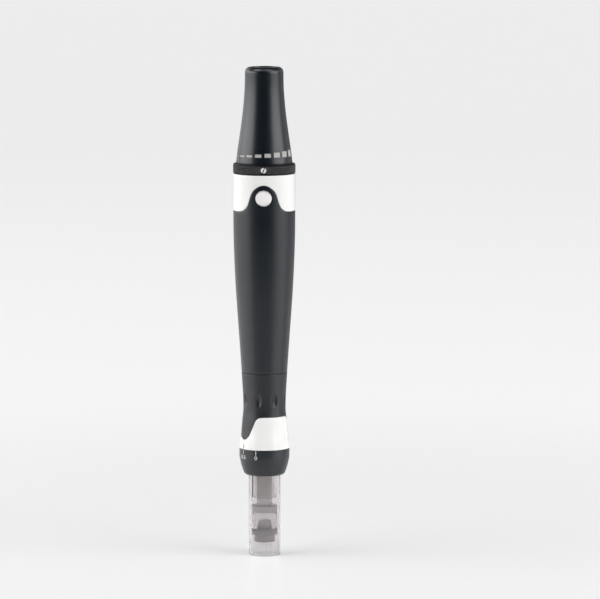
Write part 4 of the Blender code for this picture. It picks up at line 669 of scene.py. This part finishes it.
def makeTail():
    edge, rim, wall = shared.edge, tail.rim, tail.wall
    low, bodyTop = capBottom - grow, capTop - rim
    outline = [(capRadius(low) - edge * (1 - cos(t)), low + edge * (1 - sin(t)))
               for t in map(radians, (90, 60, 30, 0))]
    outline += [(capRadius(z), z) for z in evenly(low + edge, bodyTop, tail.rows)[1:-1]]
    rimRadius = capRadius(bodyTop)
    outline += [(rimRadius - rim * (1 - cos(t)), bodyTop + rim * sin(t))
                for t in map(radians, range(0, 91, 9))]
    hole, roof = tail.hole, capTop - tail.roof
    outline += rounded([(hole, capTop, tail.holeEdge), (hole, roof), (capRadius(roof) - wall, roof),
                        (capRadius(low) - wall, low)])[:-1]
    outline += [(capRadius(z) - wall, z) for z in evenly(roof, low, tail.innerRows)[1:]]
    settle(spun("tailCapShell", outline, "satin"), "handle", "black_shell", "tail_cap")

    bottom, top = ends("dc_jack")
    shoulder, floor, lip = top - inlet.noseLength, bottom + inlet.floor, inlet.lip
    turned("inletBody", "moulded", 96, "handle", "dark_plastic", "dc_jack", [
        (inlet.pinHole, bottom), (inlet.body, bottom, lip), (inlet.body, shoulder, lip),
        (inlet.nose, shoulder), (inlet.nose, top, lip), (inlet.bore, top, lip),
        (inlet.bore, floor), (inlet.pinHole, floor),
    ])
    low, tip = bottom - inlet.pinTail, top - inlet.pinRecess
    boreFloor = tip - inlet.pinBoreDepth
    turned("inletPin", "brass", 48, "handle", "brass", "dc_jack_pin", [
        (0, low), (inlet.pin, low, inlet.pinEdge), (inlet.pin, tip, inlet.pinTip),
        (inlet.pinBore, tip, inlet.pinEdge), (inlet.pinBore, boreFloor), (0, boreFloor),
    ])


# Silver bars that grow round the cone, read against the knurled ring's screw
speedScale = Settings(
    lengths(base=142.6, firstHeight=0.18, growth=0.305, proud=0.04),
    count=12, first=front - radians(72.4), pitch=radians(20.3), width=radians(13.6),
)

# Knurled speed ring and its screw
ring = Settings(
    lengths(radius=10.93, bore=8.4, chamfer=0.16, edge=0.1, margin=0.22, depth=0.13, sunk=0.01),
    columns=104, rows=4, toothSharp=radians(20),
)
screw = Settings(
    lengths(radius=0.98, holeFloor=8.0, sunk=0.02, dome=0.1, edge=0.1, slot=0.34,
            slotDepth=0.45),
    holeShare=1.08,  # of the screw's radius
    opening=1.25 * mm,  # in the knurl
    domeShares=(0.5, 0.2), slotTurn=radians(-20),
)


def knurl(graph, v):
    # Staggered rows of four-sided points, as crossed cuts leave, but none at the screw's hole
    index = graph.node("InputIndex")
    row = graph.maths("FLOOR", (index + 0.5) / v.columns)
    column = index - row * v.columns
    angle = (column + 0.5 * (row % 2.0)) * (fullTurn / v.columns)
    place = graph.polar(v.radius, angle, v.base + row * v.rise)
    points = graph.node("Points", {"Count": v.columns * v.rows})
    points = graph.node("SetPosition", {0: points, "Position": place})
    cone = {"Vertices": 4, "Radius Top": 0.42, "Radius Bottom": 1.0, "Depth": v.depth}
    tooth = graph.node("MeshCone", cone, fill_type="NGON")
    facing = graph.node("FunctionNodeEulerToRotation", {0: graph.vector(0.0, radians(90), angle)})
    size = graph.vector(v.rise, v.radius * (pi / v.columns), 1.0)
    x, y, z = graph.split(place)
    away = graph.maths("SQRT", x * x + (z - v.middle) * (z - v.middle))
    shown = graph.maths("GREATER_THAN", away, v.opening) + graph.maths("GREATER_THAN", y, 0.0)
    return graph.node("InstanceOnPoints", {
        "Points": points, "Selection": shown, "Instance": tooth, "Rotation": facing, "Scale": size})


def makeSpeedRing():
    low, high = ringBottom - grow, ringTop + grow
    middle = (low + high) / 2
    inner, chamfer = ring.radius - ring.chamfer, ring.chamfer
    outline = rounded([
        (ring.bore, low), (inner, low), (ring.radius, low + chamfer, ring.edge),
        (ring.radius, high - chamfer, ring.edge), (inner, high), (ring.bore, high),
    ])
    body = bored(spun("speedRingBody", outline, "knurl"), "knurl", 48,
                 screw.radius * screw.holeShare, screw.holeFloor, middle)
    settle(body, "speed_ring", "ring_black", "speed_ring")

    rise = (high - low - 2 * ring.margin) / (ring.rows + 1)
    values = dict(columns=ring.columns, rows=ring.rows, radius=ring.radius - ring.sunk,
                  base=low + ring.margin + rise, rise=rise, depth=ring.depth,
                  middle=middle, opening=screw.opening)
    teeth = repeated("speedRingKnurl", values, knurl, "knurl", ring.toothSharp)
    settle(teeth, "speed_ring", "ring_black")

    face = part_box("speed_ring")[1].x - screw.sunk
    across, down = screw.domeShares
    outline = rounded([
        (0, ring.bore), (screw.radius, ring.bore),
        (screw.radius, face - screw.dome, screw.edge),
        (screw.radius * across, face - down * screw.dome), (0, face),
    ])
    size = (3 * screw.radius, screw.slot, 2 * screw.slotDepth)
    head = boxCut(spun("setScrew", outline, "screw", 48), "screw", (0, 0, face), size, screw.slotTurn)
    settle(pointedOut(head, front, middle), "speed_ring", "steel", "ring_set_screw")


# White upper collar and black barrel, which meet along an arch round the button
arch = Settings(
    spread=radians(55), rise=9.52 * mm,
    height=12.9 * mm,  # of the collar, away from the arch
    shares=((0, 1), (0.14, 0.97), (0.27, 0.885), (0.38, 0.775), (0.45, 0.63), (0.484, 0.518),
            (0.53, 0.36), (0.596, 0.207), (0.68, 0.11), (0.82, 0.03), (1, 0)),
    rows=64, collarRows=20, denseSpread=radians(40), coarse=radians(2), fine=radians(0.5),
)
button = Settings(
    lengths(radius=2.86, hole=2.96, holeFloor=8.5, face=10.92, crown=0.34, edge=0.14,
            flange=3.9, flangeHeight=0.6, flangeEdge=0.1),
    crownShares=((0.85, 0.3), (0.65, 0.6), (0.4, 0.86), (0.2, 0.965)),  # of radius and of crown
)


def makeBarrel():
    flat = barrelTop - arch.height
    lobes = [(front, arch.spread, arch.spread)]
    edge = wavyEdge(lobes, arch.shares, flat, arch.rise, barrelOutline.radius)
    angles = columnAngles([front], arch.denseSpread, arch.coarse, arch.fine)

    def radius(angle, z):
        return barrelRadius(z)

    collar = wavyShell("upperCollarShell", angles, lambda a: edge(a, seam), barrelTop + grow, radius,
                       shared.wall, arch.collarRows, "white")
    settle(collar, "handle", "white_collar", "upper_collar")
    barrel = wavyShell("barrelShell", angles, lambda a: edge(a, -seam), barrelBottom - grow, radius,
                       shared.wall, arch.rows, "satin")
    height = sum(ends("power_button")) / 2
    barrel = bored(barrel, "satin", 96, button.hole, button.holeFloor, height)
    settle(barrel, "handle", "black_shell", "barrel")

    rim = button.face - button.crown
    back = -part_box("power_button")[1].y
    shoulder = back + button.flangeHeight
    crown = [(button.radius * out, rim + up * button.crown) for out, up in button.crownShares]
    outline = rounded([
        (0, back), (button.flange, back), (button.flange, shoulder, button.flangeEdge),
        (button.radius, shoulder), (button.radius, rim, button.edge), *crown,
        (0, button.face),
    ])
    face = pointedOut(spun("buttonFace", outline, "pearl", 96), front, height)
    settle(face, "power_button", "button_silver", "power_button")


# White lower collar and dimpled grip, which meet along two tongues
tongue = Settings(
    lengths(depth=8.2, height=11.5, collarWall=1.0, lip=0.9, lipBore=7.3),
    centre=radians(-147.2), spread=radians(56), backSpread=radians(74),
    shares=((0, 1), (0.12, 0.97), (0.22, 0.905), (0.32, 0.795), (0.418, 0.585), (0.521, 0.355),
            (0.63, 0.135), (0.77, 0.03), (1, 0)),
    coarse=radians(1.25), fine=radians(1.0), collarRows=24, gripRows=96,
)
dimple = Settings(
    lengths(width=2.35, height=5.4, depth=0.58, rise=17.5),
    count=8, first=radians(-104.6), sharpness=1.25,
)
indexMark = Settings(
    lengths(base=38.72, firstHeight=1.65, proud=0.03),
    count=1, first=radians(-145.2), pitch=0.0, width=0.34 * mm / (8.8 * mm), growth=0.0,
)


def dimpleDepth(angle, z):
    # How far the surface is pressed in at a place on the grip
    pitch = fullTurn / dimple.count
    side = (angle - dimple.first + pitch / 2) % pitch - pitch / 2
    middle = collarBottom + dimple.rise
    u = side * gripRadius(middle) / (dimple.width / 2)
    v = (z - middle) / (dimple.height / 2)
    inside = 1 - u * u - v * v
    return dimple.depth * inside ** dimple.sharpness if inside > 0 else 0.0


def makeGrip():
    centres = [tongue.centre, tongue.centre + pi]
    flat = collarBottom + tongue.height
    spreads = ((tongue.backSpread, tongue.spread), (tongue.spread, tongue.backSpread))
    lobes = [(centre, *pair) for centre, pair in zip(centres, spreads)]
    edge = wavyEdge(lobes, tongue.shares, flat, -tongue.depth, gripRadius(flat))
    angles = columnAngles(centres, tongue.spread, tongue.coarse, tongue.fine)
    collar = wavyShell("lowerCollarShell", angles, lambda a: edge(a, -seam), collarBottom - grow,
                       lambda a, z: gripRadius(z), tongue.collarWall, tongue.collarRows, "white",
                       (tongue.lip, tongue.lipBore))
    settle(collar, "handle", "white_collar", "lower_collar")
    grip = wavyShell("gripShell", angles, lambda a: edge(a, seam), gripTop + grow,
                     lambda a, z: gripRadius(z) - dimpleDepth(a, z), shared.wall, tongue.gripRows,
                     "soft")
    settle(grip, "handle", "grip_black", "grip_shell")
    settle(printedMarks("indexMark", indexMark, gripRadius, "darkPrint"), "handle", "black_shell")


# Depth dial with its ticks and numbers
dial = Settings(
    lengths(bore=5.9, floor=1.6, cavity=7.0, hub=7.1, hubBore=6.5, noseEdge=0.1, noseRise=0.04,
            boreEdge=0.2),
    rows=40,
    crowding=1.3,  # above 1 the rows stand closer together at the nose
)
depthMarks = Settings(
    lengths(base=36.7, firstHeight=1.6, proud=0.03),
    count=6, first=front - radians(19), pitch=-radians(37), width=0.27 * mm / (8.9 * mm),
    growth=0.0,
)
numbers = Settings(
    lengths(height=1.42, centre=35.75, bolder=0.015, proud=0.08, sunk=0.08, weld=0.0001),
    step=0.5,
    size=1.85 * mm,  # of the type, whose figures are about 0.7 of it
    widthShare=1.2,  # of the type's own width
)


def makeDial():
    top, edge = dialTop + grow, shared.edge
    first, high = dialBottom + dial.noseRise, top - edge
    shares = [(k / dial.rows) ** dial.crowding for k in range(dial.rows + 1)]
    side = [(dialRadius(z), z) for z in (first + (high - first) * share for share in shares)]
    side += [(dialRadius(top) - edge * (1 - cos(t)), high + edge * sin(t))
             for t in map(radians, (30, 60, 90))]
    hubTop, floor = ends("depth_dial")[1], dialBottom + dial.floor
    turned("dialShell", "satin", shared.sides, "depth_dial", "black_shell", "depth_dial", [
        (dial.bore, dialBottom, dial.boreEdge),
        (dialOutline.nose - dial.noseEdge, dialBottom), *side,
        (dial.hub, top), (dial.hub, hubTop), (dial.hubBore, hubTop),
        (dial.hubBore, dialTop), (dial.cavity, dialTop), (dial.cavity, floor),
        (dial.bore, floor),
    ])
    ticks = printedMarks("dialTicks", depthMarks, dialRadius, "silverPrint")
    settle(ticks, "depth_dial", "white_collar")
    bm = bmesh.new()
    for i in range(depthMarks.count):
        text = "%.1f" % (numbers.step * i) if i else "0"
        addNumber(bm, text, depthMarks.first + depthMarks.pitch * i)
    settle(addPiece("dialNumbers", bm, "silverPrint"), "depth_dial", "white_collar")


def addNumber(bm, text, angle):
    # Type laid flat, then wrapped on the dial at an angle
    curve = bpy.data.curves.new("type", "FONT")
    curve.body = text
    curve.size = numbers.size
    curve.align_x = "CENTER"
    curve.align_y = "CENTER"
    curve.offset = numbers.bolder
    curve.extrude = numbers.size
    typed = placed("type", curve)
    mesh = finalMesh(typed)
    heights = [v.co.y for v in mesh.vertices]
    middle = (min(heights) + max(heights)) / 2
    for vert in mesh.vertices:
        z = numbers.centre + vert.co.y - middle
        lift = numbers.proud if vert.co.z > 0 else -numbers.sunk
        turn = vert.co.x * numbers.widthShare / dialOutline.radius
        vert.co = around(dialRadius(z) + lift, angle + turn, z)
    bm.from_mesh(mesh)
    bpy.data.objects.remove(typed)
    bpy.data.meshes.remove(mesh)
    bmesh.ops.remove_doubles(bm, verts=bm.verts[:], dist=numbers.weld)


# Clear needle cartridge
tube = Settings(
    lengths(radius=5.6, bore=4.85, lip=0.3, lipHeight=1.0, lipEdge=0.12, footEdge=0.22,
            topEdge=0.15, boreEdge=0.1),
)
core = Settings(
    lengths(sleeve=4.35, bore=3.0, spigot=4.55, spigotLength=3.1, flange=5.5, lowerFlange=1.8,
            groove=1.8, grooveRadius=4.25, upperFlange=2.0, neck=2.75, neckBore=2.25,
            ledgeHole=1.75, ledgeRise=1.1, ledge=0.8, notch=1.6, notchReach=4.4,
            spigotEdge=0.05, edge=0.15),
    notchOver=1.0 * mm,  # the cutter's reach past the flange
)
plunger = Settings(
    lengths(column=2.7, columnLength=13.2, rod=1.45, collar=2.0, collarHeight=2.0, edge=0.12,
            tipEdge=0.3),
    collarDrop=6.9 * mm,  # its top below the rod's tip
)
carriage = Settings(
    lengths(disc=4.55, discDrop=0.6, cup=4.5, cupWall=0.55, ringWall=0.6, ringHeight=2.0,
            block=3.7, blockHeight=4.5, stem=2.7, stemTop=2.2, stemHeight=2.9, edge=0.15,
            boreEdge=0.1, ringEdge=0.2),
)
needle = Settings(
    lengths(radius=0.15, length=2.8, point=0.9, sunk=0.8),
    rows=((3, 0.9 * mm), (9, 2.5 * mm)),
)
sleeveRib = Settings(
    lengths(base=20.8, firstHeight=9.6, proud=0.14),
    count=1, first=front - radians(72), pitch=0.0, width=1.3 * mm / (4.35 * mm), growth=0.0,
)
coilSpring = Settings(
    radius=1.85 * mm, wire=0.17 * mm,
    turns=4.0,  # in each half
)


def makeCartridge():
    top = ends("cartridge_tube")[1]
    lip, edge = tube.bore - tube.lip, tube.boreEdge
    turned("clearTube", "clear", shared.sides, "cartridge", "clear_cartridge", "cartridge_tube", [
        (lip, 0, tube.lipEdge), (tube.radius, 0, tube.footEdge),
        (tube.radius, top, tube.topEdge), (tube.bore, top, edge),
        (tube.bore, tube.lipHeight + tube.lip, edge), (lip, tube.lipHeight, edge),
    ])

    bottom, neckTop = ends("cartridge_core")
    flangeLow = top + shared.cadGap
    flangeHigh = flangeLow + core.lowerFlange
    upperLow = flangeHigh + core.groove
    upperHigh = upperLow + core.upperFlange
    ledgeLow = flangeLow + core.ledgeRise
    ledgeHigh = ledgeLow + core.ledge
    spigotLow = flangeLow - core.spigotLength
    edge = core.edge
    outline = rounded([
        (core.bore, bottom, edge), (core.sleeve, bottom, edge), (core.sleeve, spigotLow),
        (core.spigot, spigotLow, core.spigotEdge), (core.spigot, flangeLow),
        (core.flange, flangeLow, edge), (core.flange, flangeHigh, edge),
        (core.grooveRadius, flangeHigh), (core.grooveRadius, upperLow),
        (core.flange, upperLow, edge), (core.flange, upperHigh, edge),
        (core.neck, upperHigh), (core.neck, neckTop, edge), (core.neckBore, neckTop),
        (core.neckBore, ledgeHigh), (core.ledgeHole, ledgeHigh), (core.ledgeHole, ledgeLow),
        (core.bore, ledgeLow),
    ])
    half, over = core.notch / 2, core.notchOver
    lowCorner = Vector((-half, core.notchReach, upperLow - core.groove / 2))
    highCorner = Vector((half, core.flange + over, upperHigh + over))
    body = boxCut(spun("coreSleeve", outline, "sleeve", 128), "sleeve", (lowCorner + highCorner) / 2,
                  highCorner - lowCorner)
    settle(body, "cartridge", "smoke_cartridge", "cartridge_core")
    rib = printedMarks("sleeveRib", sleeveRib, lambda z: core.sleeve + sleeveRib.proud, "rib")
    settle(rib, "cartridge", "smoke_cartridge")

    smoky = ("needle_carriage", "smoke_cartridge")
    low, high = ends("plunger")
    columnTop, collarTop = low + plunger.columnLength, high - plunger.collarDrop
    collarLow, foot = collarTop - plunger.collarHeight, low - carriage.discDrop
    edge = plunger.edge
    turned("plungerRod", "smoke", 96, *smoky, "plunger", [
        (0, foot), (plunger.column, foot, edge), (plunger.column, columnTop, edge),
        (plunger.rod, columnTop), (plunger.rod, collarLow), (plunger.collar, collarLow, edge),
        (plunger.collar, collarTop, edge), (plunger.rod, collarTop),
        (plunger.rod, high, plunger.tipEdge), (0, high),
    ])

    edge, boreEdge, disc = carriage.edge, carriage.boreEdge, carriage.disc
    low, high = ends("carriage_disc")
    high -= carriage.discDrop
    turned("carriageDisc", "disc", 128, *smoky, "carriage_disc",
           [(0, low), (disc, low, edge), (disc, high, edge), (0, high)])
    low, high = ends("needle_cup")
    inner = carriage.cup - carriage.cupWall
    turned("needleCup", "cup", 128, "needle_carriage", "clear_cartridge", "needle_cup", [
        (inner, low, boreEdge), (carriage.cup, low, edge), (carriage.cup, high, edge),
        (inner, high, boreEdge),
    ])
    low, high = ends("wiper_ring")
    inner, ringEdge = disc - carriage.ringWall, carriage.ringEdge
    turned("wiperRing", "rubber", 128, "needle_carriage", "rubber", "wiper_ring", [
        (inner, low, boreEdge), (disc, low, ringEdge), (disc, high, ringEdge), (inner, high, boreEdge),
    ])

    blockLow, stemHigh = high - carriage.blockHeight, high + carriage.stemHeight
    turned("needleBlock", "block", 128, *smoky, "needle_block", [
        (0, blockLow), (carriage.block, blockLow, edge), (carriage.block, high, edge),
        (carriage.stem, high), (carriage.stemTop, stemHigh, edge), (0, stemHigh),
    ])
    for count, reach in needle.rows:
        values = dict(count=count, reach=reach, root=blockLow + needle.sunk,
                      tip=blockLow - needle.length, radius=needle.radius, point=needle.point)
        settle(repeated("needleRow%d" % count, values, needleRow, "needle"), "needle_carriage", "steel")

    # The spring is made as two coils that meet in its middle: the lower rides with the cartridge, the
    # upper with the needle carriage
    low, high = ends("cartridge_spring")
    low, high = low + coilSpring.wire, high - coilSpring.wire
    middle = (low + high) / 2
    addCoil("cartridgeCoil", coilSpring, low, middle, "cartridge", "socket_lift", "cartridge_spring")
    addCoil("plungerCoil", coilSpring, high, middle, "needle_carriage", "rod_stroke")


def needleRow(graph, v):
    # A ring of needles, each a shaft with a ground point below it
    places = graph.node("MeshCircle", {"Vertices": v.count, "Radius": v.reach})
    shaftLow = v.tip + v.point
    shaft = graph.node("MeshCylinder",
                       {"Vertices": 12, "Radius": v.radius, "Depth": v.root - shaftLow})
    middle = graph.vector(0.0, 0.0, (v.root + shaftLow) * 0.5)
    shaft = graph.node("Transform", {0: shaft, "Translation": middle})
    cone = {"Vertices": 12, "Radius Top": v.radius * 0.06, "Radius Bottom": v.radius,
            "Depth": v.point}
    down = graph.node("FunctionNodeEulerToRotation", {0: (pi, 0.0, 0.0)})
    point = graph.node("Transform", {0: graph.node("MeshCone", cone),
                                                 "Translation": graph.vector(0.0, 0.0, shaftLow),
                                                 "Rotation": down})
    both = graph.node("JoinGeometry", {0: shaft})
    graph.feed(both.socket.node.inputs[0], point)
    return graph.node("InstanceOnPoints", {"Points": places, "Instance": both})


def woundWire(graph, v):
    # A wire along an even helix
    line = graph.node("CurveSpiral", {
        "Resolution": 32, "Rotations": v.turns, "Start Radius": v.radius,
        "End Radius": v.radius, "Height": v.height,
    })
    foot = graph.vector(0.0, 0.0, v.low)
    line = graph.node("Transform", {0: line, "Translation": foot})
    circle = graph.node("CurvePrimitiveCircle", {"Resolution": 12, "Radius": v.wire})
    return graph.node("CurveToMesh",
                      {"Curve": line, "Profile Curve": circle, "Fill Caps": True})


def addCoil(name, spring, held, free, body, jointName, *nodes):
    # A coil from its held end to its free one
    values = dict(spring, low=min(held, free), height=abs(free - held))
    coil = settle(repeated(name, values, woundWire, "steel"), body, "steel", *nodes)
    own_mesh(coil)


# Spring between the rod's bush and the cam's follower
rodSpring = Settings(
    radius=2.9 * mm, wire=0.25 * mm, turns=7.0,
)


def makeInside():
    low, high = ends("return_spring")
    wire = rodSpring.wire
    addCoil("returnCoil", rodSpring, low + wire, high - wire, "handle", "rod_stroke", "return_spring")
    finishes = dict(
        steel="""motor_can motor_shaft face_cam cam_set_screw drive_rod socket_key follower_key
                 cartridge_socket depth_pin cartridge_key dial_snap_ring tact_switch""",
        aluminium="tail_bulkhead cap_carrier jack_holder drive_frame",
        brass="ring_hub speed_wiper",
        bronze="motor_bearing rod_bush cam_follower",
        seal="retaining_ring dial_friction_ring",
        board="main_board speed_track",
        moulded="""switch_plunger button_guide driver_chip filter_capacitor chassis motor_end_cap
                   motor_cradle""",
        pale="lead_connector",
        winding="armature",
        magnet="motor_magnet",
        redLead="supply_lead_red motor_lead_red",
        blackLead="supply_lead_black motor_lead_black",
    )
    for finish, names in finishes.items():
        for name in names.split():
            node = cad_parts[name]
            node.data.materials.clear()
            node.data.materials.append(look[finish])


# Pale glossy table that sweeps up into the backdrop, and six soft boxes
studio = Settings(
    nearEdge=-0.4, farEdge=2.6, halfWidth=3.0, bend=0.8, bendSteps=16, wallHeight=2.4,
    colour=(0.965, 0.965, 0.97), shown=(0.955, 0.955, 0.957),
    share=0.84,  # of the plain shown colour in what the camera sees far off
    nearShare=0.38, near=0.08, far=0.45, sky=(0.955, 0.955, 0.957), world=0.008, worldShown=0.9,
    gloss=0.28, lampAim=90 * mm,
)
# Each lamp's angle, distance, height, width, length and power
lamps = dict(
    leftBox=(-83, 1.15, 0.38, 1.4, 0.52, 10.0), rightBox=(68, 1.25, 0.5, 1.27, 0.8, 12.5),
    rearLeftBox=(-134, 1.3, 0.5, 1.0, 0.9, 4.6), rearRightBox=(125, 1.3, 0.5, 1.0, 0.9, 2.0),
    topLeftBox=(-64, 0.7, 1.25, 0.9, 0.9, 8.9), topRightBox=(50, 0.7, 1.25, 0.9, 0.9, 6.5),
)


def makeStudio():
    bm = bmesh.new()
    farEdge, bend = studio.farEdge, studio.bend
    points = [(studio.nearEdge, 0.0), (farEdge - bend, 0.0)]
    points += [(farEdge - bend * (1 - sin(t)), bend * (1 - cos(t)))
               for t in map(radians, evenly(0, 90, studio.bendSteps)[1:])]
    points.append((farEdge, studio.wallHeight))
    rows = [[bm.verts.new((side * studio.halfWidth, y, z)) for side in (-1, 1)] for y, z in points]
    for here, there in zip(rows, rows[1:]):
        bm.faces.new((here[0], here[1], there[1], there[0]))
    mesh = bpy.data.meshes.new("studioSweep")
    bm.to_mesh(mesh)
    bm.free()
    mesh.shade_smooth()
    placed("studioSweep", mesh)

    paper = Finish("paleTable", studio.colour, studio.gloss)
    glow = paper.node("Emission", {"Color": (*studio.shown, 1.0), "Strength": 1.0})
    path = paper.node("LightPath", output="Is Camera Ray")
    seen = paper.maths("MAXIMUM", path, path.output("Is Transmission Ray"))
    edges = {0: paper.cylinder()[1], 1: studio.near, 2: studio.far, 3: studio.nearShare,
             4: studio.share}
    away = paper.node("MapRange", edges, interpolation_type="SMOOTHSTEP")
    shader = Value(paper, paper.shader.outputs[0])
    mixed = paper.node("MixShader", {0: seen * away, 1: shader, 2: glow})
    paper.feed(paper.tree.nodes["Material Output"].inputs["Surface"], mixed)
    mesh.materials.append(paper.made)

    world = bpy.data.worlds.new("studioWorld")
    world.use_nodes = True
    sky = Graph(world.node_tree)
    path = sky.node("ShaderNodeLightPath", output="Is Camera Ray")
    dim, shown = studio.world, studio.worldShown
    background = world.node_tree.nodes["Background"]
    sky.feed(background.inputs["Color"], (*studio.sky, 1.0))
    sky.feed(background.inputs["Strength"], dim + (shown - dim) * path)
    bpy.context.scene.world = world

    for name, (angle, distance, height, width, length, power) in lamps.items():
        data = bpy.data.lights.new(name, "AREA")
        data.shape = "RECTANGLE"
        data.size, data.size_y, data.energy = width, length, power
        made = placed(name, data)
        made.location = (distance * sin(radians(angle)), -distance * cos(radians(angle)), height)
        pointAt(made, Vector((0, 0, studio.lampAim)))
        made.visible_camera = False
        made.visible_transmission = False
    bpy.context.scene.view_settings.view_transform = "Standard"


makeStudio()
print("studio lit")
makeTail()
settle(printedMarks("speedBars", speedScale, capRadius, "barPrint"), "handle", "white_collar")
print("tail cap, inlet and speed scale made")
makeSpeedRing()
print("speed ring knurled")
makeBarrel()
print("barrel, upper collar and button made")
makeGrip()
print("grip and lower collar made")
makeDial()
print("depth dial numbered")
makeCartridge()
print("cartridge made")
makeInside()
print("inside finished")
